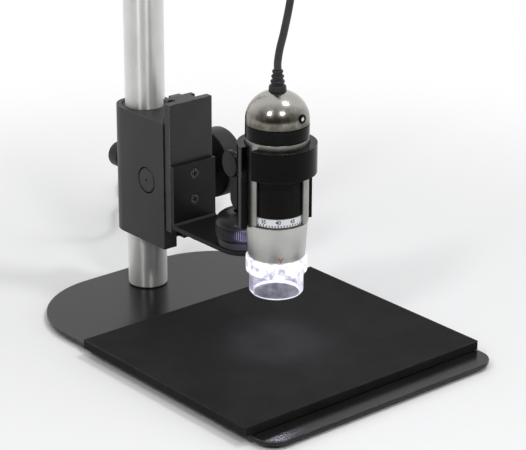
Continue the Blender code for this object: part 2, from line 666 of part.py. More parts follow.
# Clamp screw and knob at the back, on an axis along Y
clamp = axis("clamp_axis", carriage, (0, 0, 0), (-QUARTER, 0, 0))
clamp_hole = turned("clamp_hole", rod(CLAMP_SCREW_RADIUS + RUN_GAP, 0, CARRIAGE_BACK + OVERRUN), None, clamp,
                    SMALL_FACETS)
combine(carriage_body, clamp_hole)
boss_low = CARRIAGE_BACK + SEAT_GAP
clamp_face = CLAMP_REACH - CLAMP_THICKNESS
screw_high = CLAMP_REACH - CLAMP_CAP - SEAT_GAP - CLAMP_TRAVEL
turned("clamp_screw", rod(CLAMP_SCREW_RADIUS, POLE_RADIUS + SEAT_GAP, screw_high), STEEL, clamp, SMALL_FACETS)
turned("clamp_knob", [
    (0, CLAMP_REACH), (CLAMP_RADIUS - CLAMP_EDGE, CLAMP_REACH), (CLAMP_RADIUS, CLAMP_REACH - CLAMP_EDGE),
    (CLAMP_RADIUS, clamp_face + CLAMP_EDGE), (CLAMP_RADIUS - CLAMP_EDGE, clamp_face), (CLAMP_BOSS, clamp_face),
    (CLAMP_BOSS, boss_low), (CLAMP_SCREW_RADIUS + SEAT_GAP, boss_low),
    (CLAMP_SCREW_RADIUS + SEAT_GAP, CLAMP_REACH - CLAMP_CAP), (0, CLAMP_REACH - CLAMP_CAP)],
    BLACK_PLASTIC, clamp, MEDIUM_FACETS)

# The slide's axis is in the middle of its length, above the carriage's.
slide = axis("slide_axis", carriage, (0, 0, SLIDE_RAISE))
slide_head_depth = SLIDE_FRONT - HEAD_BACK
slide_neck_depth = SLIDE_FRONT - NECK_BACK
focus_slide = box("focus_slide", (2 * SLIDE_HALF_WIDTH, SLIDE_PLATE, CARRIAGE_LENGTH), BLACK_ANODISED, slide,
                  (0, SLIDE_PLATE / 2 - SLIDE_FRONT, 0))
slide_web = box("slide_web", (2 * SLIDE_NECK_HALF, slide_head_depth - SLIDE_HEAD / 2 - SLIDE_PLATE / 2,
                              CARRIAGE_LENGTH), None, slide,
                (0, (SLIDE_PLATE / 2 + slide_head_depth - SLIDE_HEAD / 2) / 2 - SLIDE_FRONT, 0))
slide_tee = box("slide_tee", (2 * SLIDE_HEAD_HALF, SLIDE_HEAD, CARRIAGE_LENGTH), None, slide,
                (0, slide_neck_depth + SLIDE_HEAD / 2 - SLIDE_FRONT, 0))
combine(focus_slide, slide_web, 'UNION')
combine(focus_slide, slide_tee, 'UNION')

# Rack on the back of the slide, with a gap of the pinion's at the pinion's height
rack_front = HEAD_BACK - SEAT_GAP
rack_pitch = PINION_OFFSET + PITCH_RADIUS
rack_tip = rack_pitch - TOOTH_RISE
rack_root = rack_pitch + TOOTH_FALL
tooth_count = int(CARRIAGE_LENGTH / TOOTH_PITCH / 2) - 1
lowest = -(tooth_count * TOOTH_PITCH) - SLIDE_RAISE % TOOTH_PITCH
rack_outline = []
for tooth in range(2 * tooth_count):
    middle = lowest + tooth * TOOTH_PITCH
    rack_outline += [(-rack_root, middle - root_half), (-rack_tip, middle - tip_half),
                     (-rack_tip, middle + tip_half), (-rack_root, middle + root_half)]
rack_end = HALF_LENGTH - RUN_GAP
rack_outline = [(-rack_front, -rack_end), (-rack_root, -rack_end)] + rack_outline + [
    (-rack_root, rack_end), (-rack_front, rack_end)]
rack = slab("rack", rack_outline, 2 * RACK_HALF_WIDTH, DARK_STEEL, slide, (0, 0, 0), (QUARTER, 0, QUARTER))

# Angle bracket: an L section, cut to the width and round end of the arm
bend_inner = BRACKET_BEND - BRACKET_THICKNESS / 2
leg_top = ARM_BOTTOM + BRACKET_LEG
arm_end = ARM_REACH + BRACKET_HALF_WIDTH
bracket_section = [
    (-BRACKET_BACK, leg_top), (-BRACKET_FRONT, leg_top), (-BRACKET_FRONT, ARM_TOP + bend_inner),
    (-BRACKET_FRONT - bend_inner, ARM_TOP), (-arm_end, ARM_TOP), (-arm_end, ARM_BOTTOM)]
bracket_section += arc((-BRACKET_BACK - BRACKET_BEND, ARM_BOTTOM + BRACKET_BEND), BRACKET_BEND,
                       -QUARTER, 0, CORNER_STEPS)
l_bracket = slab("l_bracket", bracket_section, 2 * BRACKET_HALF_WIDTH, BLACK_ANODISED, slide,
                 (0, 0, 0), (QUARTER, 0, QUARTER))
arm_plan = (
    [(BRACKET_HALF_WIDTH + OVERRUN, OVERRUN), (-BRACKET_HALF_WIDTH - OVERRUN, OVERRUN),
     (-BRACKET_HALF_WIDTH - OVERRUN, -ARM_REACH), (-BRACKET_HALF_WIDTH, -ARM_REACH)]
    + arc((0, -ARM_REACH), BRACKET_HALF_WIDTH, math.pi, 2 * math.pi, MEDIUM_FACETS // 2)[1:-1]
    + [(BRACKET_HALF_WIDTH, -ARM_REACH), (BRACKET_HALF_WIDTH + OVERRUN, -ARM_REACH)]
)
arm_shape = slab("arm_plan", arm_plan, 2 * CARRIAGE_LENGTH, None, slide)
combine(l_bracket, arm_shape, 'INTERSECT')
screw_face = -BRACKET_FRONT
cone_depth = BRACKET_SCREW_CONE
hole_radius = BRACKET_SCREW_RADIUS + SEAT_GAP
head_radius = BRACKET_SCREW_HEAD + SEAT_GAP
screw_reach = BRACKET_FRONT - rack_front + BRACKET_SCREW_BITE
screw_heights = {
    "bracket_screw_upper": ARM_BOTTOM + BRACKET_SCREW_HIGH,
    "bracket_screw_lower": ARM_BOTTOM + BRACKET_SCREW_LOW,
}
for screw_name, screw_height in screw_heights.items():
    place = (0, screw_face, screw_height)
    face_out = (QUARTER, 0, 0)
    hole = turned(screw_name + "_hole", [
        (0, OVERRUN), (head_radius, OVERRUN), (head_radius, 0), (hole_radius, -cone_depth),
        (hole_radius, -screw_reach - SEAT_GAP), (0, -screw_reach - SEAT_GAP)],
        None, slide, TINY_FACETS, place, face_out)
    combine(l_bracket, hole)
    combine(focus_slide, hole)
    combine(rack, hole)
    screw = turned(screw_name, [
        (0, 0), (BRACKET_SCREW_HEAD, 0), (BRACKET_SCREW_RADIUS, -cone_depth),
        (BRACKET_SCREW_RADIUS, -screw_reach), (0, -screw_reach)],
        DARK_STEEL, slide, TINY_FACETS, place, face_out)
    for bar_name, bar_size in (("_slot_a", (CROSS_LENGTH, CROSS_WIDTH, 2 * CROSS_DEPTH)),
                               ("_slot_b", (CROSS_WIDTH, CROSS_LENGTH, 2 * CROSS_DEPTH))):
        combine(screw, box(screw_name + bar_name, bar_size, None, screw))

# The head's axis stands on the arm's top face.
head = axis("head_axis", slide, (0, -ARM_REACH, ARM_TOP))
base_top = SEAT_GAP + HEAD_BASE
spigot_top = base_top + HEAD_SPIGOT
screw_top = HEAD_SCREW_BITE - BRACKET_THICKNESS
arm_hole = turned("arm_hole", [
    (0, OVERRUN), (HEAD_SCREW_RADIUS + SEAT_GAP, OVERRUN), (HEAD_SCREW_RADIUS + SEAT_GAP, 0),
    (HEAD_SCREW_HEAD + SEAT_GAP, -BRACKET_THICKNESS),
    (HEAD_SCREW_HEAD + SEAT_GAP, -BRACKET_THICKNESS - OVERRUN), (0, -BRACKET_THICKNESS - OVERRUN)],
    None, head, SMALL_FACETS)
combine(l_bracket, arm_hole)
head_screw = turned("head_screw", [
    (0, screw_top), (HEAD_SCREW_RADIUS, screw_top), (HEAD_SCREW_RADIUS, 0),
    (HEAD_SCREW_HEAD, -BRACKET_THICKNESS), (0, -BRACKET_THICKNESS)], DARK_STEEL, head, SMALL_FACETS)
combine(head_screw, turned("head_screw_socket", rod(POLE_SCREW_SOCKET, -OVERRUN, POLE_SCREW_SOCKET_DEPTH),
                           None, head, 6, (0, 0, -BRACKET_THICKNESS)))
turned("pivot_base", [
    (0, spigot_top), (HEAD_SPIGOT_RADIUS, spigot_top), (HEAD_SPIGOT_RADIUS, base_top),
    (HEAD_BASE_RADIUS, base_top), (HEAD_BASE_RADIUS, SEAT_GAP), (HEAD_SCREW_RADIUS + SEAT_GAP, SEAT_GAP),
    (HEAD_SCREW_RADIUS + SEAT_GAP, screw_top + SEAT_GAP), (0, screw_top + SEAT_GAP)],
    BLACK_ANODISED, head, LARGE_FACETS)
washer_low = spigot_top + RUN_GAP
washer_high = washer_low + WASHER_THICKNESS
turned("friction_washer", tube(HEAD_SPIGOT_RADIUS, HEAD_SPIGOT_RADIUS - WASHER_WALL, washer_low, washer_high),
       NYLON, head, MEDIUM_FACETS, ring=True)

# The stem and the microscope turn about the head's axis, and rest turned a little to the left.
pan = axis("pan_axis", head, (0, 0, 0), (0, 0, PAN_TURN))

# Stem: a flange under the lock ring, a round neck and a fork for the holder's tongue
flange_bottom = washer_high + RUN_GAP
flange_top = flange_bottom + STEM_FLANGE
fork_bottom = TILT_HEIGHT + FORK_RADIUS - FORK_LENGTH - FORK_RADIUS
fork_low_centre = fork_bottom + FORK_RADIUS
fork_outline = (
    arc((0, TILT_HEIGHT), FORK_RADIUS, 0, math.pi, MEDIUM_FACETS // 2)
    + arc((0, fork_low_centre), FORK_RADIUS, math.pi, 2 * math.pi, MEDIUM_FACETS // 2)
)
pan_stem = turned("pan_stem", [
    (0, fork_low_centre), (STEM_RADIUS, fork_low_centre), (STEM_RADIUS, flange_top),
    (STEM_FLANGE_RADIUS, flange_top), (STEM_FLANGE_RADIUS, flange_bottom), (0, flange_bottom)],
    BLACK_PLASTIC, pan, MEDIUM_FACETS)
fork = slab("stem_fork", fork_outline, 2 * FORK_HALF_WIDTH, None, pan, (0, 0, 0), (QUARTER, 0, QUARTER))
combine(pan_stem, fork, 'UNION')
slot_half = TONGUE_HALF_WIDTH + RUN_GAP
slot_height = FORK_SLOT_DEPTH + FORK_RADIUS + OVERRUN
fork_slot = box("fork_slot", (2 * slot_half, 4 * FORK_RADIUS, slot_height), None, pan,
                (0, 0, TILT_HEIGHT - FORK_SLOT_DEPTH + slot_height / 2))
combine(pan_stem, fork_slot)

# Knurled lock ring with a dished mouth, threaded on the base's spigot
lock_low = base_top + LOCK_GROOVE
lock_side_top = lock_low + LOCK_SIDE
lock_top = lock_side_top + LOCK_DOME
lock_ceiling = flange_top + RUN_GAP
lock_bore = HEAD_SPIGOT_RADIUS + RUN_GAP
neck_bore = STEM_RADIUS + RUN_GAP
dome_points = [(LOCK_MOUTH + (LOCK_RADIUS - LOCK_MOUTH) * math.sin(turn * QUARTER / CORNER_STEPS),
                lock_side_top + LOCK_DOME * math.cos(turn * QUARTER / CORNER_STEPS))
               for turn in range(CORNER_STEPS + 1)]
lock_ring = turned("lock_ring", dome_points + [
    (LOCK_RADIUS, lock_low + LOCK_EDGE), (LOCK_RADIUS - LOCK_EDGE, lock_low), (lock_bore, lock_low),
    (lock_bore, lock_ceiling), (neck_bore, lock_ceiling), (neck_bore, (lock_ceiling + lock_top) / 2)],
    BLACK_PLASTIC, head, LARGE_FACETS, ring=True)

# The tilt axis crosses the fork, from its left to its right.
tilt = axis("tilt_axis", pan, (0, 0, TILT_HEIGHT), (0, QUARTER, 0))
bolt_hole_radius = TILT_BOLT_RADIUS + RUN_GAP
bolt_hole = turned("tilt_bolt_hole", rod(bolt_hole_radius, -FORK_HALF_WIDTH - OVERRUN, FORK_HALF_WIDTH + OVERRUN),
                   None, tilt, SMALL_FACETS)
combine(pan_stem, bolt_hole)
knob_near = FORK_HALF_WIDTH + RUN_GAP
knob_far = knob_near + TILT_KNOB_THICKNESS
bolt_head_low = FORK_HALF_WIDTH + SEAT_GAP
turned("tilt_bolt", [
    (0, bolt_head_low + TILT_BOLT_HEAD), (TILT_BOLT_HEAD_RADIUS, bolt_head_low + TILT_BOLT_HEAD),
    (TILT_BOLT_HEAD_RADIUS, bolt_head_low), (TILT_BOLT_RADIUS, bolt_head_low),
    (TILT_BOLT_RADIUS, TILT_KNOB_CAP + SEAT_GAP - knob_far), (0, TILT_KNOB_CAP + SEAT_GAP - knob_far)],
    DARK_STEEL, tilt, SMALL_FACETS)
turned("tilt_knob", [
    (0, -knob_far + TILT_KNOB_CAP), (bolt_hole_radius, -knob_far + TILT_KNOB_CAP), (bolt_hole_radius, -knob_near),
    (TILT_KNOB_HUB, -knob_near), (TILT_KNOB_HUB, -knob_near - TILT_KNOB_STEP),
    (TILT_KNOB_RADIUS, -knob_near - TILT_KNOB_STEP), (TILT_KNOB_RADIUS, -knob_far + TILT_KNOB_EDGE),
    (TILT_KNOB_RADIUS - TILT_KNOB_EDGE, -knob_far), (0, -knob_far)],
    BLACK_PLASTIC, tilt, MEDIUM_FACETS)

# The scope's axis stands on the rim of the clear cap, in front of the tilt axis.
scope = axis("scope_axis", pan, (0, -SCOPE_OFFSET, TILT_HEIGHT - SCOPE_DROP))

# Holder, a tube that is cut away in front under its ring and slotted at the side
holder_high = SCOPE_DROP + HOLDER_TOP
holder_low = SCOPE_DROP - HOLDER_BOTTOM
ring_low = holder_high - HOLDER_RING
holder_bore = HOLDER_RADIUS - HOLDER_WALL
holder = turned("holder", tube(HOLDER_RADIUS, holder_bore, holder_low, holder_high), BLACK_PLASTIC, scope,
                LARGE_FACETS, ring=True)
cut_side = 2 * HOLDER_RADIUS + 2 * OVERRUN
cut_height = ring_low - holder_low + OVERRUN
holder_turn = axis("holder_turn", scope, (0, 0, 0), (0, 0, HOLDER_TURN))
front_cut = box("holder_front_cut", (cut_side, cut_side, cut_height), None, holder_turn,
                (0, -cut_side / 2, ring_low - cut_height / 2))
combine(holder, front_cut)
slot_turn = axis("holder_slot_turn", scope, (0, 0, 0), (0, 0, HOLDER_SLOT_TURN))
slot_cut = box("holder_slot_cut", (HOLDER_RADIUS, HOLDER_SLOT, HOLDER_RING + 2 * OVERRUN), None, slot_turn,
               (HOLDER_RADIUS, 0, holder_high - HOLDER_RING / 2))
combine(holder, slot_cut)
tongue_root = SCOPE_OFFSET - HOLDER_RADIUS + HOLDER_WALL / 2
tongue_outline = (
    arc((0, 0), TONGUE_RADIUS, -QUARTER, QUARTER, MEDIUM_FACETS // 2)
    + [(-tongue_root, TONGUE_RADIUS), (-tongue_root, -TONGUE_RADIUS)]
)
tongue = slab("holder_tongue", tongue_outline, 2 * TONGUE_HALF_WIDTH, None, scope,
              (0, SCOPE_OFFSET, SCOPE_DROP), (QUARTER, 0, QUARTER))
combine(holder, tongue, 'UNION')
tongue_hole = turned("tongue_hole", rod(bolt_hole_radius, -FORK_HALF_WIDTH, FORK_HALF_WIDTH), None, tilt,
                     SMALL_FACETS)
combine(holder, tongue_hole)

# Barrel with its window for the dial
barrel = turned("barrel", tube(BARREL_RADIUS, BARREL_BORE, BARREL_BOTTOM, BARREL_TOP), SILVER_PAINT, scope,
                LARGE_FACETS, ring=True)
window_reach = 2 * BARREL_RADIUS
window_plan = [(0, 0)] + arc((0, 0), window_reach, -WINDOW_HALF_ANGLE, WINDOW_HALF_ANGLE, CORNER_STEPS)
window_height = WINDOW_TOP - BARREL_BOTTOM + OVERRUN
window_cut = slab("barrel_window", window_plan, window_height, None, scope,
                  (0, 0, WINDOW_TOP - window_height / 2), (0, 0, WINDOW_TURN))
combine(barrel, window_cut)

# Nose cone with the shelf that carries the dial
dial_radius = BARREL_BORE - RUN_GAP
dial_bore = dial_radius - DIAL_WALL
turned("nose_cone", [
    (dial_bore, CONE_TOP), (CONE_TOP_RADIUS, CONE_TOP), (CONE_BOTTOM_RADIUS, CONE_BOTTOM),
    (CONE_BOTTOM_RADIUS - CONE_WALL, CONE_BOTTOM), (CONE_TOP_RADIUS - CONE_WALL, CONE_TOP - CONE_WALL),
    (dial_bore, CONE_TOP - CONE_WALL)], SILVER_PAINT, scope, LARGE_FACETS, ring=True)

# Focus dial with its scale ring below
turned("focus_dial", tube(dial_radius, dial_bore, DIAL_BOTTOM, DIAL_TOP), BLACK_PLASTIC, scope, LARGE_FACETS,
       ring=True)
turned("scale_ring", tube(dial_radius, dial_bore, SCALE_BOTTOM, SCALE_TOP), WHITE_SCALE, scope, LARGE_FACETS,
       ring=True)

# Lens carrier in the dial, and its lens
carrier_bore = CARRIER_RADIUS - CARRIER_WALL
carrier_top = CARRIER_BOTTOM + CARRIER_LENGTH
seat_low = CARRIER_BOTTOM + LENS_HEIGHT - SEAT_GAP
lens_ledge = carrier_bore - CARRIER_WALL
turned("lens_carrier", [
    (carrier_bore, carrier_top), (CARRIER_RADIUS, carrier_top), (CARRIER_RADIUS, CARRIER_BOTTOM + CARRIER_FLANGE),
    (dial_bore - RUN_GAP, CARRIER_BOTTOM + CARRIER_FLANGE), (dial_bore - RUN_GAP, CARRIER_BOTTOM),
    (lens_ledge, CARRIER_BOTTOM), (lens_ledge, seat_low), (carrier_bore, seat_low)],
    BLACK_ANODISED, scope, MEDIUM_FACETS, ring=True)
lens_radius = carrier_bore - SEAT_GAP
lens_low = seat_low + SEAT_GAP
lens_high = lens_low + LENS_THICKNESS
lens_crown = [(lens_radius * math.sin(step * QUARTER / 3), lens_high + LENS_CROWN * math.cos(step * QUARTER / 3))
              for step in range(4)]
turned("lens", lens_crown + [(lens_radius, lens_low), (0, lens_low)], OPTICAL_GLASS, scope, MEDIUM_FACETS)

# Camera board with the image chip under it
board_radius = BARREL_BORE - SEAT_GAP
turned("camera_board", rod(board_radius, BOARD_BOTTOM, BOARD_BOTTOM + BOARD_THICKNESS), CIRCUIT_BOARD, scope,
       MEDIUM_FACETS)
box("image_chip", (CHIP_SIDE, CHIP_SIDE, CHIP_THICKNESS), BLACK_PLASTIC, scope,
    (0, 0, BOARD_BOTTOM - SEAT_GAP - CHIP_THICKNESS / 2))

# Bare black band round the top of the barrel
band_low = BARREL_TOP + SEAT_GAP
band_high = band_low + BAND_HEIGHT
turned("barrel_band", tube(BAND_RADIUS, BAND_RADIUS - BAND_WALL, band_low, band_high), GLOSS_BLACK, scope,
       LARGE_FACETS, ring=True)

# Domed top housing, a shell with the cable's mouth in its crown
dome_low = band_high + SEAT_GAP
dome_high = dome_low + DOME_HEIGHT
straight = DOME_HEIGHT * DOME_STRAIGHT_SHARE
dome_steps = 8


def dome_line(radius, low, high, mouth):
    """Points from the mouth's edge down the outside of a dome to its straight skirt."""
    points = []
    start = math.asin(mouth / radius)
    for step in range(dome_steps + 1):
        turn = start + (QUARTER - start) * step / dome_steps
        points.append((radius * math.sin(turn),
                       low + straight + (high - low - straight) * math.cos(turn) / math.cos(start)))
    return points


dome_outer = dome_line(DOME_RADIUS, dome_low, dome_high, DOME_MOUTH)
dome_inner = dome_line(DOME_RADIUS - DOME_WALL, dome_low, dome_high - DOME_WALL, DOME_MOUTH)
dome_housing = turned("dome_housing", dome_outer + [(DOME_RADIUS, dome_low), (DOME_RADIUS - DOME_WALL, dome_low)]
                      + list(reversed(dome_inner)), GUNMETAL, scope, LARGE_FACETS, ring=True)

# Touch button let into the dome's side; it senses a finger and doesn't travel
touch_turn = axis("touch_turn", scope, (0, 0, dome_low + TOUCH_HEIGHT), (0, 0, TOUCH_TURN))
touch_face = DOME_RADIUS + TOUCH_PROUD
touch_hole = turned("touch_hole", rod(TOUCH_RADIUS + SEAT_GAP, -DOME_WALL - OVERRUN, OVERRUN), None, touch_turn,
                    SMALL_FACETS, (DOME_RADIUS, 0, 0), (0, QUARTER, 0))
combine(dome_housing, touch_hole)
turned("touch_button", rod(TOUCH_RADIUS, -TOUCH_DEPTH - TOUCH_PROUD, 0, TOUCH_PROUD), GLOSS_BLACK, touch_turn,
       SMALL_FACETS, (DOME_RADIUS, 0, 0), (0, QUARTER, 0))

# Ribbed strain relief with a flange inside the dome
relief_flange_top = dome_high - DOME_WALL - RELIEF_SEAT
relief_flange_low = relief_flange_top - RELIEF_FLANGE
relief_low = dome_high
relief_top = relief_low + RELIEF_LENGTH
rib_pitch = RELIEF_LENGTH / RELIEF_RIBS
relief_line = [(0, relief_top)]
for rib in range(RELIEF_RIBS, 0, -1):
    rib_top = relief_low + rib * rib_pitch
    taper = (rib - 0.5) / RELIEF_RIBS
    radius = RELIEF_BASE_RADIUS + (RELIEF_TIP_RADIUS - RELIEF_BASE_RADIUS) * taper
    waist = radius * (1 - RELIEF_RIB_DEPTH_SHARE)
    relief_line += [(radius, rib_top), (radius, rib_top - rib_pitch / 2),
                    (waist, rib_top - rib_pitch / 2), (waist, rib_top - rib_pitch)]
relief_line[-1] = (RELIEF_BASE_RADIUS, relief_low)
relief_line += [(RELIEF_BASE_RADIUS, relief_flange_top), (RELIEF_FLANGE_RADIUS, relief_flange_top),
                (RELIEF_FLANGE_RADIUS, relief_flange_low), (0, relief_flange_low)]
turned("strain_relief", relief_line, BLACK_RUBBER, scope, SMALL_FACETS)

# Clear cap: a wide collar under the cone, a narrower body and a spigot inside the cone
collar_top = CONE_BOTTOM - SEAT_GAP
collar_low = collar_top - CAP_COLLAR
spigot_radius = CONE_BOTTOM_RADIUS - CONE_WALL - SEAT_GAP
spigot_high = collar_top + CAP_SPIGOT
cap_bore = spigot_radius - CAP_WALL
clear_cap = turned("clear_cap", [
    (cap_bore, spigot_high), (spigot_radius, spigot_high), (spigot_radius, collar_top),
    (CAP_COLLAR_RADIUS, collar_top), (CAP_COLLAR_RADIUS, collar_low), (CAP_BODY_RADIUS, collar_low),
    (CAP_BODY_RADIUS, CAP_RIM_HEIGHT), (CAP_RIM_RADIUS, 0), (CAP_RIM_RADIUS - CAP_WALL, 0),
    (cap_bore, CAP_RIM_HEIGHT)], CLEAR_PLASTIC, scope, LARGE_FACETS, ring=True)
rib_turn = axis("cap_rib_turn", scope, (0, 0, 0), (0, 0, CAP_RIB_TURN))
rib_depth = CAP_RIB_PROUD + CAP_WALL
rib_height = CAP_COLLAR - 2 * CAP_RIB_PROUD
cap_rib = box("cap_rib", (rib_depth, CAP_RIB_WIDTH, rib_height), None, rib_turn,
              (CAP_COLLAR_RADIUS + CAP_RIB_PROUD - rib_depth / 2, 0, (collar_low + collar_top) / 2))
combine(clear_cap, cap_rib, 'UNION')

# Ring of lamps on its board, inside the cone above the cap's spigot
led_low = spigot_high + SEAT_GAP
led_slope = (CONE_TOP_RADIUS - CONE_BOTTOM_RADIUS) / (CONE_TOP - CONE_WALL - CONE_BOTTOM)
led_outer = CONE_BOTTOM_RADIUS - CONE_WALL + led_slope * (led_low - CONE_BOTTOM) - SEAT_GAP
led_board = turned("led_board", tube(led_outer, LED_BOARD_BORE, led_low, led_low + LED_BOARD_THICKNESS),
                   CIRCUIT_BOARD, scope, MEDIUM_FACETS, ring=True)
for lamp in range(LED_COUNT):
    turn = 2 * math.pi * lamp / LED_COUNT
    ring_radius = led_outer * LED_RING_SHARE
    led = turned("led_%d" % lamp, rod(LED_RADIUS, -LED_LENGTH, LED_BOARD_THICKNESS / 2), None, scope, TINY_FACETS,
                 (ring_radius * math.cos(turn), ring_radius * math.sin(turn), led_low))
    combine(led_board, led, 'UNION')


def smooth_line(points, step):
    """A smooth curve through hand-placed points, read every step along its length."""
    places = [Vector(point) for point in points]
    places = [2 * places[0] - places[1]] + places + [2 * places[-1] - places[-2]]
    fine = []
    for start in range(1, len(places) - 2):
        before, here, after, beyond = places[start - 1:start + 3]
        for part in range(40):
            share = part / 40
            fine.append(0.5 * (2 * here + (after - before) * share
                               + (2 * before - 5 * here + 4 * after - beyond) * share ** 2
                               + (3 * here - before - 3 * after + beyond) * share ** 3))
    fine.append(places[-2])
    length = sum((b - a).length for a, b in zip(fine, fine[1:]))
    count = max(2, round(length / step))
    spacing = length / count
    read, run, wanted = [fine[0]], 0, spacing
    for a, b in zip(fine, fine[1:]):
        stretch = (b - a).length
        while run + stretch >= wanted and len(read) < count:
            read.append(a + (b - a) * ((wanted - run) / stretch))
            wanted += spacing
        run += stretch
    return read + [fine[-1]], length


def wire(name, points, radius, resolution, look, parent):
    """A round wire along a line of points, with closed ends."""
    curve = bpy.data.curves.new(name, 'CURVE')
    curve.dimensions = '3D'
    curve.bevel_depth = radius
    curve.bevel_resolution = resolution
    curve.use_fill_caps = True
    curve.twist_mode = 'MINIMUM'
    line = curve.splines.new('POLY')
    line.points.add(len(points) - 1)
    for point, place in zip(line.points, points):
        point.co = (*place, 1)
    return from_curve(name, curve, look, parent)


# Coil: from the top layer down, in and out by turns, stepping down a layer in the half turn between
floor_line = CABLE_RADIUS - PLATE_TOP
coil_base = floor_line + TIE_THICKNESS + SEAT_GAP
half_turn = COIL_POINTS // 2
coil_width = COIL_PITCH * COIL_LAYER_STEPS / COIL_POINTS
coil_outer = COIL_INNER_RADIUS + coil_width
coil_points = []
for layer in range(COIL_LAYERS):
    inward = layer % 2 == 0
    height = coil_base + (COIL_LAYERS - 1 - layer) * COIL_PITCH
    for step in range(COIL_LAYER_STEPS + 1):
        share = step / COIL_LAYER_STEPS
        coil_points.append((COIL_INNER_RADIUS + coil_width * ((1 - share) if inward else share), height))
    if layer < COIL_LAYERS - 1:
        for step in range(1, half_turn):
            swing = COIL_SWING * math.sin(math.pi * step / half_turn)
            drop = COIL_PITCH * (1 - math.cos(math.pi * step / half_turn)) / 2
            radius = COIL_INNER_RADIUS - swing if inward else coil_outer + swing
            coil_points.append((radius, height - drop))
sight = Vector((math.cos(COIL_HEADING), math.sin(COIL_HEADING), 0))
across = Vector((sight.y, -sight.x, 0))
coil_middle = Vector((*COIL_CENTRE, 0))
coil_line = []
for count, (radius, height) in enumerate(coil_points):
    turn = math.pi - 2 * math.pi * count / COIL_POINTS
    coil_line.append(coil_middle + across * (radius * math.cos(turn)) + sight * (radius * math.sin(turn))
                     + Vector((0, 0, height)))
coil_heading = (coil_line[1] - coil_line[0]).normalized()
tail_heading = (coil_line[-1] - coil_line[-2]).normalized()
straight_end = 2 * CABLE_RADIUS
tail_rise = PLUG_GRIP_HEIGHT / 2 - PLATE_TOP - coil_base
tail_turn = coil_line[-1] + tail_heading * straight_end
tail_level = tail_turn + tail_heading * COIL_TAIL + Vector((0, 0, tail_rise))
coil_line = ([coil_line[0] - coil_heading * straight_end] + coil_line
             + [tail_turn, tail_level, tail_level + tail_heading * straight_end])
coil_length = sum((b - a).length for a, b in zip(coil_line, coil_line[1:]))


def least_gap(line, radius, apart):
    """The least space between two stretches of one wire that lie further apart along it than said."""
    least = None
    for first in range(len(line) - 1):
        for second in range(first + apart, len(line) - 1):
            for share_a in (0, 0.25, 0.5, 0.75):
                a = line[first].lerp(line[first + 1], share_a)
                for share_b in (0, 0.25, 0.5, 0.75):
                    space = (a - line[second].lerp(line[second + 1], share_b)).length - 2 * radius
                    least = space if least is None else min(least, space)
    return least


wire("cable_coil", coil_line, CABLE_RADIUS, 1, BLACK_RUBBER, stand)
print("coil length %.3f m, least gap to itself %.2f mm"
      % (coil_length, 1000 * least_gap(coil_line, CABLE_RADIUS, COIL_POINTS // 3)))

# Tie round the coil's far side, a band that stands on the floor
tie_turn = math.atan2(sight.y, sight.x)
tie_low = COIL_INNER_RADIUS - CABLE_RADIUS - COIL_SWING
tie_high = coil_outer + CABLE_RADIUS + COIL_SWING
tie_top = coil_base + (COIL_LAYERS - 1) * COIL_PITCH + CABLE_RADIUS + SEAT_GAP
tie_bottom = -PLATE_TOP + TIE_THICKNESS
tie_axis = axis("tie_axis", stand, (*COIL_CENTRE, 0), (0, 0, tie_turn))
tie_middle = ((tie_low + tie_high) / 2, 0, (tie_top + tie_bottom) / 2)
tie_inside = (tie_high - tie_low, TIE_WIDTH + OVERRUN, tie_top - tie_bottom)
tie_outside = (tie_inside[0] + 2 * TIE_THICKNESS, TIE_WIDTH, tie_inside[2] + 2 * TIE_THICKNESS)
cable_tie = box("cable_tie", tie_outside, BLACK_RUBBER, tie_axis, tie_middle)
combine(cable_tie, box("tie_inside", tie_inside, None, tie_axis, tie_middle))

# Plug on the floor: a moulded grip, a sheet metal shell and the contact tongue in it
plug_start = coil_line[-1] + tail_heading * SEAT_GAP
plug_turn = math.atan2(tail_heading.y, tail_heading.x)
plug_axis = axis("plug_axis", stand, plug_start, (0, 0, plug_turn))
plug_grip = box("usb_plug_grip", (PLUG_GRIP_LENGTH, PLUG_GRIP_WIDTH, PLUG_GRIP_HEIGHT), BLACK_RUBBER, plug_axis,
                (PLUG_GRIP_LENGTH / 2, 0, 0))
soften(plug_grip, PLUG_GRIP_EDGE, 2)
shell_start = PLUG_GRIP_LENGTH + SEAT_GAP
shell_middle = (shell_start + PLUG_SHELL_LENGTH / 2, 0, 0)
plug_shell = box("usb_plug_shell", (PLUG_SHELL_LENGTH, PLUG_SHELL_WIDTH, PLUG_SHELL_HEIGHT), STEEL, plug_axis,
                 shell_middle)
shell_hollow = box("shell_hollow", (PLUG_SHELL_LENGTH, PLUG_SHELL_WIDTH - 2 * PLUG_SHELL_WALL,
                                    PLUG_SHELL_HEIGHT - 2 * PLUG_SHELL_WALL), None, plug_axis,
                   (shell_middle[0] + PLUG_SHELL_WALL, 0, 0))
combine(plug_shell, shell_hollow)
tongue_length = PLUG_SHELL_LENGTH - PLUG_SHELL_WALL - 2 * SEAT_GAP
tongue_lift = PLUG_SHELL_HEIGHT / 2 - PLUG_SHELL_WALL - SEAT_GAP - PLUG_TONGUE_HEIGHT / 2
box("usb_plug_tongue", (tongue_length, PLUG_SHELL_WIDTH - 2 * PLUG_SHELL_WALL - 2 * SEAT_GAP,
                        PLUG_TONGUE_HEIGHT), BLACK_PLASTIC, plug_axis,
    (shell_start + PLUG_SHELL_WALL + SEAT_GAP + tongue_length / 2, 0, tongue_lift))

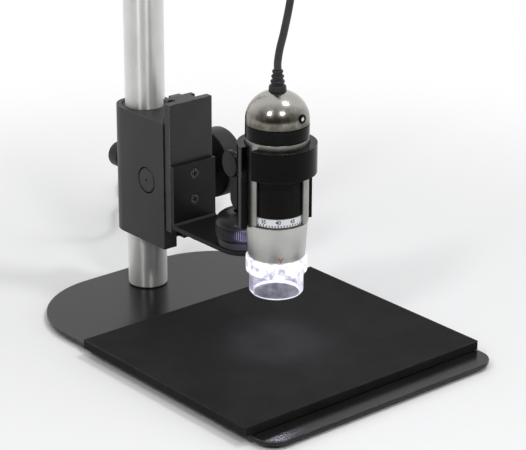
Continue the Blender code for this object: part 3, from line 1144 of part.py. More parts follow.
# Cable from the strain relief, up and over behind the pole, down to the floor and to the coil
relief_end = Vector((SCOPE_OFFSET * math.sin(PAN_TURN), -ARM_REACH - SCOPE_OFFSET * math.cos(PAN_TURN),
                     CARRIAGE_HEIGHT + SLIDE_RAISE + ARM_TOP + TILT_HEIGHT - SCOPE_DROP + relief_top + SEAT_GAP))
cable_route = [
    relief_end,
    relief_end + Vector((0, 0, 2 * CABLE_RADIUS)),
    (-0.0031, -0.1143, 0.1600),
    (-0.0013, -0.1154, 0.1690),
    (0.0030, -0.1150, 0.1850),
    (0.0110, -0.1080, 0.2020),
    (0.0220, -0.0930, 0.2160),
    (0.0350, -0.0690, 0.2240),
    (0.0460, -0.0400, 0.2240),
    (0.0520, -0.0110, 0.2125),
    (0.0485, 0.0180, 0.1880),
    (0.0400, 0.0360, 0.1560),
    (0.0365, 0.0430, 0.1200),
    (0.0355, 0.0480, 0.0850),
    (0.0370, 0.0545, 0.0550),
    (0.0410, 0.0660, 0.0330),
    (0.0478, 0.0800, 0.0190),
]
coil_mouth = coil_line[0]
cable_route += [coil_mouth - coil_heading * (SEAT_GAP + 3 * straight_end),
                coil_mouth - coil_heading * (SEAT_GAP + straight_end),
                coil_mouth - coil_heading * SEAT_GAP]
cable_line, cable_length = smooth_line(cable_route, CABLE_STEP)
wire("cable", cable_line, CABLE_RADIUS, 2, BLACK_RUBBER, stand)
print("free cable %.3f m" % cable_length)
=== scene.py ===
from math import asin, atan2, ceil, cos, pi, radians, sin

import bmesh
import bpy
from mathutils import Matrix, Vector


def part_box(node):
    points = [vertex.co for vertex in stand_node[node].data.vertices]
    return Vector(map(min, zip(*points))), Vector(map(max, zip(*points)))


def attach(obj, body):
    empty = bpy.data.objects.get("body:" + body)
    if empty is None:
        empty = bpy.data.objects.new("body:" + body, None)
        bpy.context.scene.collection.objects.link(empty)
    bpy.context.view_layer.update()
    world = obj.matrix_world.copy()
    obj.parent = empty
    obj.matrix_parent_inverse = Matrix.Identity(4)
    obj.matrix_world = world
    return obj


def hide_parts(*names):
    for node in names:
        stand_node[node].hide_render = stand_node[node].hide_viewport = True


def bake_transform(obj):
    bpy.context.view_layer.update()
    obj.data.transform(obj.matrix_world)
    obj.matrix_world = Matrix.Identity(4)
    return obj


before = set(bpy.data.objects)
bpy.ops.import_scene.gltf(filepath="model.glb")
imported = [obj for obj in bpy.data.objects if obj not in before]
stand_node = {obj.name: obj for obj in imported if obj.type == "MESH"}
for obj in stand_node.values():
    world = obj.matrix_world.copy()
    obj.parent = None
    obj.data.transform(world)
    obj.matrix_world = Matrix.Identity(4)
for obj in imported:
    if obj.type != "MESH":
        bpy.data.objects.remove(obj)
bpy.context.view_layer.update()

# Camera
# Seen from the front left and from about 21 degrees above, with a long lens from about a metre away,
# so that the pole's top and the cable's loop stay above the picture's edge.
camera_place = (-0.617205, -0.74787, 0.43899)
camera_turn = -40.07
camera_drop = 20.96
camera_roll = 0.19


def turned(degrees, axis):
    """A turn round an axis."""
    return Matrix.Rotation(radians(degrees), 4, axis)


def show(name, data):
    """An object of its own in the scene."""
    made = bpy.data.objects.new(name, data)
    bpy.context.scene.collection.objects.link(made)
    return made


camera = show("camera", bpy.data.cameras.new("camera"))
bpy.context.scene.camera = camera
camera.data.sensor_width = 36
camera.data.lens = 138.606
camera.data.shift_x = 0.00532
camera.data.shift_y = -0.0135
camera.data.clip_start = 0.05
camera.data.clip_end = 60
camera.matrix_world = (Matrix.Translation(camera_place) @ turned(camera_turn, 'Z') @ turned(90 - camera_drop, 'X')
                       @ turned(camera_roll, 'Z'))

# Studio
# A plain pale sweep under and round the stand, with two soft window lights at the left and the front and
# a panel overhead. The room is white behind the object and dims, a little unevenly, towards the camera.
floor_half = 9
floor_shadow_reach = 0.17
floor_white_reach = 0.5
room_back = (0.53, 0.63, 0.57)
room_strength = 0.75
bpy.context.scene.view_settings.view_transform = 'Standard'


def node(tree, kind, sockets=None, **looks):
    """A shader node. A socket takes a value, another node's first output, or an output of its own."""
    made = tree.nodes.new("ShaderNode" + kind)
    for look, choice in looks.items():
        setattr(made, look, choice)
    for socket, value in (sockets or {}).items():
        join(tree, value, made.inputs[socket])
    return made


def join(tree, value, socket):
    """Give a socket a plain value, or link it to an output or to a node's first output."""
    if isinstance(value, bpy.types.Node):
        value = value.outputs[0]
    if isinstance(value, bpy.types.NodeSocket):
        tree.links.new(value, socket)
    else:
        socket.default_value = value


def toned(tree, shade, stops):
    """A colour ramp over a shade, with stops of a position and a colour."""
    ramp = node(tree, "ValToRGB", {"Fac": shade})
    elements = ramp.color_ramp.elements
    for step, (position, tone) in enumerate(stops):
        stop = elements[step] if step < len(elements) else elements.new(position)
        stop.position = position
        stop.color = (*tone, 1)
    return ramp


def paint(name, sockets):
    """A material with these values on its shader."""
    made = bpy.data.materials.new(name)
    made.use_nodes = True
    for socket, value in sockets.items():
        made.node_tree.nodes["Principled BSDF"].inputs[socket].default_value = value
    return made


floor_mesh = bpy.data.meshes.new("studio_floor")
floor_shape = bmesh.new()
bmesh.ops.create_grid(floor_shape, x_segments=1, y_segments=1, size=floor_half)
floor_shape.to_mesh(floor_mesh)
floor_shape.free()
show("studio_floor", floor_mesh)
floor_paint = paint("white_studio_floor", {"Base Color": (0.93, 0.93, 0.93, 1), "Roughness": 0.8,
                                           "Specular IOR Level": 0.05})
floor_mesh.materials.append(floor_paint)
tree = floor_paint.node_tree
floor_reach = node(tree, "VectorMath", {0: node(tree, "TexCoord").outputs["Object"]}, operation='LENGTH')
floor_fade = node(tree, "MapRange", {"Value": floor_reach.outputs["Value"], "From Min": floor_shadow_reach,
                                     "From Max": floor_white_reach}, interpolation_type='SMOOTHSTEP')
ray = node(tree, "LightPath").outputs
floor_polish = node(tree, "Math", {0: ray["Is Camera Ray"], 1: ray["Is Glossy Ray"]}, operation='MAXIMUM')
floor_seen = node(tree, "Math", {0: floor_polish, 1: ray["Is Transmission Ray"]}, operation='MAXIMUM')
floor_share = node(tree, "Math", {0: floor_fade, 1: floor_seen}, operation='MULTIPLY')
floor_white = node(tree, "Emission", {"Color": (1, 1, 1, 1)})
floor_mix = node(tree, "MixShader", {"Fac": floor_share, 1: tree.nodes["Principled BSDF"], 2: floor_white})
join(tree, floor_mix, tree.nodes["Material Output"].inputs["Surface"])

room = bpy.data.worlds.new("white_room")
bpy.context.scene.world = room
room.use_nodes = True
tree = room.node_tree
room_towards = node(tree, "TexCoord").outputs["Generated"]
room_turn = node(tree, "VectorMath", {0: room_towards, 1: room_back}, operation='DOT_PRODUCT')
room_half = node(tree, "MapRange", {"Value": room_turn.outputs["Value"], "From Min": -1, "From Max": 1})
room_things = node(tree, "TexNoise", {"Vector": room_towards, "Scale": 5.5, "Detail": 3})
room_uneven = node(tree, "Math", {0: room_things, 1: 0.64, 2: room_half}, operation='MULTIPLY_ADD')
room_depth = node(tree, "Math", {0: room_uneven, 1: 0.32}, operation='SUBTRACT')
room_shade = toned(tree, room_depth, ((0.1, (0.045, 0.043, 0.032)), (0.26, (0.13, 0.115, 0.095)),
                                      (0.44, (0.42, 0.41, 0.4)), (0.66, (0.95, 0.96, 0.98))))
room_light = tree.nodes["Background"]
join(tree, room_shade, room_light.inputs["Color"])
room_light.inputs["Strength"].default_value = room_strength
ray = node(tree, "LightPath").outputs
room_behind = node(tree, "MapRange", {"Value": room_half, "From Min": 0.66, "From Max": 0.8},
                   interpolation_type='SMOOTHSTEP')
room_polish = node(tree, "Math", {0: room_behind, 1: ray["Is Glossy Ray"]}, operation='MULTIPLY')
room_clear = node(tree, "Math", {0: ray["Is Camera Ray"], 1: ray["Is Transmission Ray"]}, operation='MAXIMUM')
room_white = node(tree, "Math", {0: room_clear, 1: room_polish}, operation='MAXIMUM')
room_seen = node(tree, "Background", {"Color": (1, 1, 1, 1)})
room_mix = node(tree, "MixShader", {"Fac": room_white, 1: room_light, 2: room_seen})
join(tree, room_mix, tree.nodes["World Output"].inputs["Surface"])


def studio_lamp(name, place, aim, width, height, power):
    """A soft rectangular studio lamp that points at a place."""
    lamp = show(name, bpy.data.lights.new(name, 'AREA'))
    lamp.data.shape = 'RECTANGLE'
    lamp.data.size = width
    lamp.data.size_y = height
    lamp.data.energy = power
    lamp.location = place
    lamp.rotation_euler = (Vector(aim) - Vector(place)).to_track_quat('-Z', 'Y').to_euler()


studio_lamp("left_window", (-0.98, -0.29, 0.95), (0, 0, 0.1), 0.15, 0.21, 3.2)
studio_lamp("front_window", (-0.32, -0.96, 0.99), (0, 0, 0.1), 0.2, 0.15, 3.2)
studio_lamp("overhead_panel", (0.365, -0.385, 1.34), (0, 0, 0.05), 0.18, 0.22, 3.8)


# Base plate
# Pressed sheet steel with a smooth black powder coat, straight in front and round at the back. The coat
# mirrors the room softly, and its broken edge is painted brighter, partly as wear and partly as a painted highlight.
def finish(name, rough, relief, tones=None, metallic=0.0, gloss=0.5, stretch=(1, 1, 1), uneven=0.0,
           tinted="Base Color", spread=(0.35, 0.65), more=None):
    """A finish from its roughness, its relief (size, depth) and its tones (patch size, darker, lighter).

    Stretch draws the relief out into lines, uneven is how far the gloss drifts over it, tinted is the socket
    that takes the tones, and more holds other values of the shader.
    """
    made = paint(name, {"Roughness": rough, "Metallic": metallic, "Specular IOR Level": gloss, **(more or {})})
    tree = made.node_tree
    sockets = tree.nodes["Principled BSDF"].inputs
    place = node(tree, "TexCoord").outputs["Object"]
    size, depth = relief
    lines = node(tree, "Mapping", {"Vector": place, "Scale": stretch})
    noise = node(tree, "TexNoise", {"Vector": lines, "Scale": 1 / size, "Detail": 4})
    join(tree, node(tree, "Bump", {"Height": noise, "Distance": depth, "Strength": 0.6}), sockets["Normal"])
    if uneven:
        join(tree, node(tree, "MapRange", {"Value": noise, "To Min": rough - uneven, "To Max": rough + uneven}),
             sockets["Roughness"])
    if tones:
        patch, dark, light = tones
        clouds = node(tree, "TexNoise", {"Vector": place, "Scale": 1 / patch})
        join(tree, toned(tree, clouds, zip(spread, (dark, light))), sockets[tinted])
    return made


def break_edges(piece, width, segments, highlight_edges):
    """Break a piece's sharp edges softly; when asked, they take the piece's second, paler finish, a painted highlight.
    """
    broken = piece.modifiers.new("broken_edges", 'BEVEL')
    broken.width = width
    broken.segments = segments
    broken.limit_method = 'ANGLE'
    broken.angle_limit = radians(40)
    broken.harden_normals = True
    broken.material = 1 if highlight_edges else -1


def clothe(name, material, edge=0.0, highlight_edges=None):
    """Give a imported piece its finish, smooth round faces, and crisp or softly broken edges."""
    piece = stand_node[name]
    piece.data.materials.clear()
    piece.data.materials.append(material)
    if highlight_edges:
        piece.data.materials.append(highlight_edges)
    if "custom_normal" in piece.data.attributes:
        piece.data.attributes.remove(piece.data.attributes["custom_normal"])
    piece.data.shade_smooth()
    piece.modifiers.new("weld", 'WELD').merge_threshold = 0.00001
    if edge:
        break_edges(piece, edge, 2, highlight_edges)
    else:
        piece.modifiers.new("crisp_edges", 'EDGE_SPLIT').split_angle = radians(35)


powder_coat = finish(
    "plate_powder_coat", 0.22, (0.0006, 0.00004), (0.05, (0.01, 0.0097, 0.009), (0.014, 0.0136, 0.0128)),
    gloss=0.24, uneven=0.04)
# The plate's edge finish is paler than the coat: wear and a painted highlight.
plate_edge_wear_and_highlight = finish(
    "plate_edge_wear_and_painted_highlight", 0.28, (0.0008, 0.00004), (0.004, (0.018, 0.018, 0.019), (0.045, 0.045, 0.047)), gloss=0.4,
    uneven=0.08)
clothe("base_plate", powder_coat, 0.0002, plate_edge_wear_and_highlight)


# Feet and stage pad
# Six small turned rubber feet with a rounded tread stand under the plate. The pad on it is a cut square of
# dense matte black foam rubber with crisp cut sides.
def turns_of(count):
    """The angles of a full round in equal steps."""
    return [2 * pi * step / count for step in range(count)]


def ring_of(shape, radius, height, turns):
    """A round of points at a height."""
    return [shape.verts.new((radius * cos(turn), radius * sin(turn), height)) for turn in turns]


def skin(shape, rings, ring=False):
    """Span faces from each round of points to the next, and from the last to the first in a ring."""
    for upper, lower in zip(rings, [*rings[1:], *(rings[:1] if ring else [])]):
        count = max(len(upper), len(lower))
        for step in range(count):
            after = (step + 1) % count
            corners = [upper[step % len(upper)], lower[step % len(lower)],
                       lower[after % len(lower)], upper[after % len(upper)]]
            corners = [c for place, c in enumerate(corners) if c not in corners[:place]]
            if len(corners) > 2:
                shape.faces.new(corners)


def lathe(name, profile, where, facets=96, ring=False):
    """A piece turned from (radius, height) points round the local Z of a place."""
    shape = bmesh.new()
    turns = turns_of(facets)
    skin(shape, [ring_of(shape, radius, height, turns) if radius > 0 else [shape.verts.new((0, 0, height))]
                 for radius, height in profile], ring)
    return set_up(name, shape, where)


def set_up(name, shape, where, edge=35):
    """Turn a finished shape into a smooth-faced object at its place."""
    bmesh.ops.recalc_face_normals(shape, faces=shape.faces)
    mesh = bpy.data.meshes.new(name)
    shape.to_mesh(mesh)
    shape.free()
    mesh.shade_smooth()
    mesh.set_sharp_from_angle(angle=radians(edge))
    made = show(name, mesh)
    made.matrix_world = where
    return made


def rounded(profile, radius, steps=4, closed=False):
    """The same profile with each inner corner turned to a small arc."""
    made = []
    count = len(profile)
    for place, point in enumerate(profile):
        here = Vector(point)
        if not closed and place in (0, count - 1) or here.x <= 0:
            made.append(point)
            continue
        before = Vector(profile[place - 1])
        after = Vector(profile[(place + 1) % count])
        reach = min(radius, (before - here).length / 2.2, (after - here).length / 2.2)
        start = here + (before - here).normalized() * reach
        end = here + (after - here).normalized() * reach
        for step in range(steps + 1):
            share = step / steps
            at = start * (1 - share) ** 2 + here * (2 * share * (1 - share)) + end * share ** 2
            made.append((at.x, at.y))
    return made


def fit_piece(piece, material, body, slot, *stands_for):
    """Give a made piece its finish and its body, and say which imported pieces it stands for."""
    piece.data.materials.append(material)
    if stands_for:
        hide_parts(*stands_for)
    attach(piece, body)


foot_radius = 0.0055
foot_height = 0.002
foot_profile = rounded([(0, foot_height), (foot_radius, foot_height), (foot_radius, 0), (0, 0)], 0.0005)
foot_rubber = finish(
    "foot_rubber", 0.85, (0.0004, 0.00003), (0.003, (0.011, 0.011, 0.011), (0.016, 0.016, 0.016)), gloss=0.3)
for corner in ("front_left", "front_right", "middle_left", "middle_right", "back_left", "back_right"):
    low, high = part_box("foot_" + corner)
    foot_place = Matrix.Translation(((low[0] + high[0]) / 2, (low[1] + high[1]) / 2, 0))
    fit_piece(lathe("foot_" + corner + "_rubber", foot_profile, foot_place, facets=48),
              foot_rubber, "stand", "black_rubber", "foot_" + corner)
pad_foam = finish(
    "pad_foam_rubber", 0.82, (0.0006, 0.0001), (0.018, (0.008, 0.008, 0.0083), (0.0128, 0.0128, 0.0134)), gloss=0.18)
# The pad's broken edges take this paler finish, a painted highlight.
pad_painted_highlight = finish(
    "pad_edge_painted_highlight", 0.7, (0.0006, 0.0001), (0.004, (0.012, 0.012, 0.013), (0.026, 0.026, 0.027)), gloss=0.3)
clothe("stage_pad", pad_foam, 0.00025, pad_painted_highlight)

# Pole
# A drawn aluminium tube with a satin anodised skin that shows fine lines along its length. A screw from
# under the plate holds it.
stand_place = Matrix.Translation((0.001975, 0.08445, 0.0045))
seat_gap = 0.0003
pole_radius = 0.01069
pole_length = 0.27
satin_aluminium = finish(
    "satin_aluminium", 0.42, (0.0004, 0.00001), (0.02, (0.76, 0.76, 0.75), (0.83, 0.83, 0.82)), 0.72,
    stretch=(1, 1, 0.01), uneven=0.06, more={"Anisotropic": 0.95, "Anisotropic Rotation": 0.25})
pole_profile = [(0, pole_length), (pole_radius, pole_length), (pole_radius, seat_gap), (0, seat_gap)]
fit_piece(lathe("pole_tube", rounded(pole_profile, 0.001), stand_place, facets=128),
          satin_aluminium, "stand", "satin_aluminium", "pole")
screw_steel = finish(
    "turned_steel", 0.32, (0.0003, 0.00001), (0.003, (0.4, 0.39, 0.38), (0.5, 0.49, 0.48)), 1.0, uneven=0.06)
clothe("pole_screw", screw_steel)

# Carriage
# Extruded aluminium, black anodised, bored for the pole. Its corners are paler than its faces, partly worn
# and partly a painted highlight, and its front channel holds the dovetail slide.
carriage_place = stand_place @ Matrix.Translation((0, 0, 0.0685))
black_anodised = finish(
    "black_anodised", 0.42, (0.00035, 0.00002), (0.03, (0.0175, 0.0175, 0.018), (0.0235, 0.0235, 0.024)), gloss=0.32,
    stretch=(1, 1, 0.05), uneven=0.05)
# The paler edge finish: wear and a painted highlight, on the carriage and the slide.
anodised_wear_and_highlight = finish(
    "anodised_edge_wear_and_painted_highlight", 0.34, (0.0006, 0.00003), (0.003, (0.04, 0.04, 0.041), (0.13, 0.13, 0.128)), 0.4,
    uneven=0.1)
clothe("carriage_body", black_anodised, 0.0004, anodised_wear_and_highlight)

# Bushes and bearings
# Two turned black nylon bushes line the bore and guide the pole. The focus shaft runs in a flush plug with
# a centre dot on the left and in a flanged brass sleeve on the right.
focus_place = carriage_place @ Matrix.Translation((0, -0.0199, 0)) @ turned(90, 'Y')
bush_outer = 0.01219
bush_bore = 0.01099
bush_length = 0.01


def turned_ring(name, bore, outer, low, top, edge, where, facets=96):
    """A plain turned ring from its bore, outer radius and two heights, with its edges broken."""
    corners = [(bore, top), (outer, top), (outer, low), (bore, low)]
    return lathe(name, rounded(corners, edge, closed=True) if edge else corners, where, facets, ring=True)


black_nylon = finish(
    "black_nylon", 0.5, (0.0005, 0.00002), (0.004, (0.018, 0.018, 0.018), (0.027, 0.027, 0.027)), gloss=0.4)
for bush, bush_low in (("upper_bush", 0.09785), ("lower_bush", 0.03815)):
    bush_place = stand_place.copy()
    bush_place.translation.z = bush_low
    fit_piece(turned_ring(bush + "_ring", bush_bore, bush_outer, 0, bush_length, 0.0003, bush_place),
              black_nylon, "bushes", "black_nylon", bush)
plug_radius = 0.0068
plug_face = -0.0148
plug_inner = -0.012
plug_chamfer = 0.0005
plug_dot = 0.0008
plug_shaft_hole = 0.003
plug_hole_end = -0.0134
fit_piece(lathe("bearing_plug_disc", [
    (0, plug_hole_end), (plug_shaft_hole, plug_hole_end), (plug_shaft_hole, plug_inner), (plug_radius, plug_inner),
    (plug_radius, plug_face + plug_chamfer), (plug_radius - plug_chamfer, plug_face), (plug_dot, plug_face),
    (plug_dot * 0.6, plug_face + 0.0005), (0, plug_face + 0.0005)], focus_place),
          black_anodised, "carriage", "black_anodised", "bearing_plug")
bearing_brass = finish(
    "bearing_brass", 0.35, (0.0004, 0.00001), (0.003, (0.52, 0.38, 0.16), (0.64, 0.49, 0.23)), 1.0, uneven=0.08)
clothe("bearing_sleeve", bearing_brass, 0.0003)

# Focus drive
# A steel shaft with a pinion crosses the carriage. A large moulded knob with a soft broken edge and a
# shallow groove in its face turns it on the right, held by a grub screw in its hub.
knob_radius = 0.01875
knob_face = 0.0263
knob_far = 0.038
knob_groove = 0.0004
knob_hub_radius = 0.0066
knob_hub_low = 0.02
knob_bore = 0.0033
knob_bore_end = knob_far - 0.0028
clothe("pinion_shaft", screw_steel)
knob_plastic = finish(
    "knob_plastic", 0.45, (0.0004, 0.00003), (0.006, (0.017, 0.017, 0.017), (0.024, 0.024, 0.024)), gloss=0.3,
    uneven=0.05)
fit_piece(lathe("focus_knob_moulding", rounded([
    (0, knob_far), (knob_radius * 0.55, knob_far), (knob_radius * 0.57, knob_far - knob_groove),
    (knob_radius * 0.6, knob_far - knob_groove), (knob_radius * 0.62, knob_far), (knob_radius, knob_far),
    (knob_radius, knob_face), (knob_hub_radius, knob_face), (knob_hub_radius, knob_hub_low),
    (knob_bore, knob_hub_low), (knob_bore, knob_bore_end), (0, knob_bore_end)], 0.0011), focus_place, facets=144),
          knob_plastic, "focus_drive", "matte_black", "focus_knob")
clothe("knob_grub_screw", screw_steel)

# Clamp knob
# A small moulded knob at the back, pressed on the end of a steel screw. The screw runs through the
# carriage's wall and locks it on the pole.
clamp_place = carriage_place @ turned(-90, 'X')
clamp_radius = 0.007
clamp_face = 0.0176
clamp_far = 0.0256
clamp_boss = 0.0045
clamp_boss_low = 0.0143
clamp_bore = 0.0024
clamp_bore_end = 0.0231
fit_piece(lathe("clamp_knob_moulding", rounded([
    (0, clamp_far), (clamp_radius, clamp_far), (clamp_radius, clamp_face), (clamp_boss, clamp_face),
    (clamp_boss, clamp_boss_low), (clamp_bore, clamp_boss_low), (clamp_bore, clamp_bore_end),
    (0, clamp_bore_end)], 0.0009), clamp_place), knob_plastic, "clamp_handle", "black_plastic", "clamp_knob")
clothe("clamp_screw", screw_steel)

# Focus slide and bracket
# The dovetail slide with its blackened rack runs in the carriage. The angle bracket, bent from black sheet,
# is held on its front by two countersunk cross-head screws and carries the swivel head on its arm.
slide_black = finish(
    "slide_black", 0.42, (0.00035, 0.00002), (0.03, (0.023, 0.023, 0.024), (0.03, 0.03, 0.03)), gloss=0.35,
    stretch=(1, 1, 0.05), uneven=0.05)
# The slide's broken edges take the paler edge finish, wear and a painted highlight.
clothe("focus_slide", slide_black, 0.0003, anodised_wear_and_highlight)
screw_black = finish(
    "blackened_screw", 0.3, (0.0003, 0.00001), (0.002, (0.035, 0.035, 0.035), (0.075, 0.075, 0.074)), 0.9, uneven=0.06)
clothe("rack", screw_black)
bracket_black = finish(
    "bracket_black", 0.38, (0.0005, 0.00003), (0.02, (0.006, 0.0062, 0.0065), (0.0095, 0.0098, 0.01)), gloss=0.22,
    uneven=0.05)
# The bracket's broken edges take a paler finish, a painted highlight.
bracket_painted_highlight = finish(
    "bracket_edge_painted_highlight", 0.36, (0.0005, 0.00003), (0.003, (0.01, 0.01, 0.011), (0.03, 0.03, 0.031)), gloss=0.3,
    uneven=0.08)
clothe("l_bracket", bracket_black, 0.0003, bracket_painted_highlight)
clothe("bracket_screw_upper", screw_black, 0.0001)
clothe("bracket_screw_lower", screw_black, 0.0001)

# Swivel head
# A black base ring on the arm's end and a fluted lock ring with a domed top over it. The stem that they
# hold ends in a fork, and a small knob on its bolt clamps the clip's tongue.
head_place = carriage_place @ Matrix.Translation((0, -0.0835, -0.01955))
pan_place = head_place @ turned(-7.5, 'Z')
tilt_place = pan_place @ Matrix.Translation((0, 0, 0.0444)) @ turned(90, 'Y')
lock_radius = 0.0149
lock_low = 0.0046
lock_side_top = 0.0118
lock_dome = 0.0058
lock_mouth = 0.0057
lock_chamfer = 0.0003
lock_bore = 0.0108
lock_roof = 0.0122
lock_neck = 0.0043
lock_neck_top = 0.0149
lock_flutes = 84
lock_flute_depth = 0.0005


def shaped_lathe(name, rings, where, turns, edge):
    """A closed ring-shaped piece from rings, each a height and a radius for every turn."""
    shape = bmesh.new()
    skin(shape, [[shape.verts.new((radius * cos(turn), radius * sin(turn), height))
                  for radius, turn in zip(radii, turns)] for height, radii in rings], ring=True)
    return set_up(name, shape, where, edge)


lock_facets = lock_flutes * 4
lock_turns = turns_of(lock_facets)
lock_wave = [(0, 1, 1, 0)[step % 4] for step in range(lock_facets)]
lock_arc = [radians(90) * step / 12 for step in range(13)]
lock_line = [(lock_side_top + lock_dome * cos(turn), lock_mouth + (lock_radius - lock_mouth) * sin(turn), 0)
             for turn in lock_arc]
lock_line += [
    (lock_side_top - 0.0004, lock_radius, 0), (lock_side_top - 0.0009, lock_radius, 1),
    (lock_low + 0.0022, lock_radius, 1), (lock_low + 0.0017, lock_radius, 0), (lock_low + 0.0014, lock_radius, 0),
    (lock_low + 0.0012, lock_radius - lock_chamfer, 0), (lock_low + 0.0009, lock_radius - lock_chamfer, 0),
    (lock_low + 0.0007, lock_radius, 0), (lock_low + lock_chamfer, lock_radius, 0),
    (lock_low, lock_radius - lock_chamfer, 0), (lock_low, lock_bore, 0), (lock_roof, lock_bore, 0),
    (lock_roof, lock_neck, 0), (lock_neck_top, lock_neck, 0)]
lock_rings = [(height, [radius - lock_flute_depth * share * wave for wave in lock_wave])
              for height, radius, share in lock_line]
head_plastic = finish(
    "head_plastic", 0.34, (0.0006, 0.00003), (0.006, (0.0045, 0.0045, 0.0048), (0.0075, 0.0075, 0.008)), gloss=0.14,
    uneven=0.05)
clothe("head_screw", screw_black)
base_top = 0.009
base_shoulder = 0.004
base_screw = 0.0023
base_screw_end = 0.0029
spigot_radius = 0.0105
base_radius = 0.0138
fit_piece(lathe("pivot_base_ring", rounded([
    (0, base_top), (spigot_radius, base_top), (spigot_radius, base_shoulder), (base_radius, base_shoulder),
    (base_radius, seat_gap), (base_screw, seat_gap), (base_screw, base_screw_end), (0, base_screw_end)], 0.0003),
    head_place, facets=128), slide_black, "slide_and_arm", "black_anodised", "pivot_base")
washer_bore = 0.006
washer_low = 0.0093
washer_top = 0.0101
fit_piece(turned_ring("friction_washer_ring", washer_bore, spigot_radius, washer_low, washer_top, 0.0001, head_place),
          black_nylon, "slide_and_arm", "black_nylon", "friction_washer")
lock_plastic = finish(
    "lock_ring_plastic", 0.32, (0.0006, 0.00002), (0.006, (0.01, 0.01, 0.0105), (0.015, 0.015, 0.0155)), gloss=0.28,
    uneven=0.04)
fit_piece(shaped_lathe("lock_ring_fluted", lock_rings, head_place, lock_turns, 50),
          lock_plastic, "lock_collar", "black_plastic", "lock_ring")
clothe("pan_stem", head_plastic, 0.0005)
clothe("tilt_bolt", screw_black, 0.0003)
tilt_radius = 0.007
tilt_far = -0.0092
tilt_near = -0.0064
tilt_boss = 0.0045
tilt_boss_near = -0.0055
tilt_bore = 0.0023
tilt_bore_end = -0.0082
fit_piece(lathe("tilt_knob_moulding", rounded([
    (0, tilt_bore_end), (tilt_bore, tilt_bore_end), (tilt_bore, tilt_boss_near), (tilt_boss, tilt_boss_near),
    (tilt_boss, tilt_near), (tilt_radius, tilt_near), (tilt_radius, tilt_far), (0, tilt_far)], 0.0006), tilt_place),
          head_plastic, "tilt_handle", "black_plastic", "tilt_knob")

# Clip
# One glossy black moulding: a slotted ring over a half tube that springs round the barrel, with a tongue
# at the back that the stem's fork holds.
scope_place = pan_place @ Matrix.Translation((0, -0.0306, -0.0161))
clip_outer = 0.02
clip_bore = 0.0164
clip_top = 0.0797
clip_ring_low = 0.0645
clip_low = 0.0364
clip_start = -5.5
clip_end = 174.5
clip_slot_start = 175.3
clip_slot_end = 196.5
tongue_y = 0.0306
tongue_z = 0.0605
tongue_radius = 0.0048
tongue_hole_radius = 0.0023
tongue_root = 0.0184
tongue_half = 0.0023


def turn_steps(stops, pace):
    """Angles in degrees from stop to stop, no further apart than the pace."""
    made = [stops[0]]
    for start, end in zip(stops, stops[1:]):
        count = max(1, ceil((end - start) / pace))
        made += [start + (end - start) * step / count for step in range(1, count + 1)]
    return made


def bent_wall(name, turns, heights, inner, outer, kept, edge, highlight_edges=False):
    """A wall bent round the microscope's axis, made of the cells that are kept, with broken edges."""
    shape = bmesh.new()
    columns = len(turns) - 1
    whole = abs(turns[-1] - turns[0] - 360) < 0.001
    corners = {}

    def corner(column, row, radius):
        key = (column % columns if whole else column, row, radius)
        if key not in corners:
            corners[key] = ring_of(shape, radius, heights[row], [radians(turns[key[0]])])[0]
        return corners[key]

    cells = {(column, row) for column in range(columns) for row in range(len(heights) - 1)
             if kept((turns[column] + turns[column + 1]) / 2, (heights[row] + heights[row + 1]) / 2)}
    for column, row in cells:
        around = [(column, row), (column + 1, row), (column + 1, row + 1), (column, row + 1)]
        for radius in (inner, outer):
            shape.faces.new([corner(c, r, radius) for c, r in around])
        beyond = [(column, row - 1), ((column + 1) % columns if whole else column + 1, row), (column, row + 1),
                  ((column - 1) % columns if whole else column - 1, row)]
        for side, cell in enumerate(beyond):
            if cell not in cells:
                (c, r), (d, s) = around[side], around[(side + 1) % 4]
                shape.faces.new((corner(c, r, inner), corner(d, s, inner), corner(d, s, outer), corner(c, r, outer)))
    made = set_up(name, shape, scope_place)
    break_edges(made, edge, 3, highlight_edges)
    return made


def in_clip(turn, height):
    """Whether the clip has wall at a turn and a height."""
    if height < clip_ring_low:
        return clip_start < turn < clip_end
    return not clip_slot_start < turn < clip_slot_end


def tongue_arc(radius, start, end, pace):
    """Points on an arc round the tongue's bolt."""
    return [(tongue_y + radius * cos(radians(turn)), tongue_z + radius * sin(radians(turn)))
            for turn in range(start, end, pace)]


clip_plastic = finish(
    "clip_plastic", 0.16, (0.004, 0.00002), (0.01, (0.002, 0.002, 0.0022), (0.0032, 0.0032, 0.0034)), gloss=0.08,
    uneven=0.04)
# The clip's broken edges take a paler finish, a painted highlight.
clip_painted_highlight = finish(
    "clip_edge_painted_highlight", 0.22, (0.001, 0.00002), (0.004, (0.01, 0.01, 0.01), (0.05, 0.05, 0.051)), uneven=0.08)
clip_turns = turn_steps([clip_start, clip_end, clip_slot_start, clip_slot_end, clip_start + 360], 2.5)
clip = bent_wall("clip_moulding", clip_turns, [clip_low, clip_ring_low, clip_top], clip_bore, clip_outer, in_clip,
                 0.0006, highlight_edges=True)
fit_piece(clip, clip_plastic, "clip", "black_plastic", "holder")
clip.data.materials.append(clip_painted_highlight)
tongue_shape = bmesh.new()
tongue_line = tongue_arc(tongue_radius, -90, 91, 10)
tongue_line += [(tongue_root, tongue_z + tongue_radius), (tongue_root, tongue_z - tongue_radius)]
tongue_hole = tongue_arc(tongue_hole_radius, 0, 360, 15)
tongue_rims = []
for side in (-tongue_half, tongue_half):
    rims = [[tongue_shape.verts.new((side, y, z)) for y, z in line] for line in (tongue_line, tongue_hole)]
    rim_edges = [tongue_shape.edges.new((rim[step - 1], rim[step])) for rim in rims for step in range(len(rim))]
    bmesh.ops.triangle_fill(tongue_shape, use_beauty=True, edges=rim_edges)
    tongue_rims.append(rims)
for sides in zip(*tongue_rims):
    skin(tongue_shape, sides)
fit_piece(set_up("clip_tongue", tongue_shape, scope_place), clip_plastic, "clip", "black_plastic")
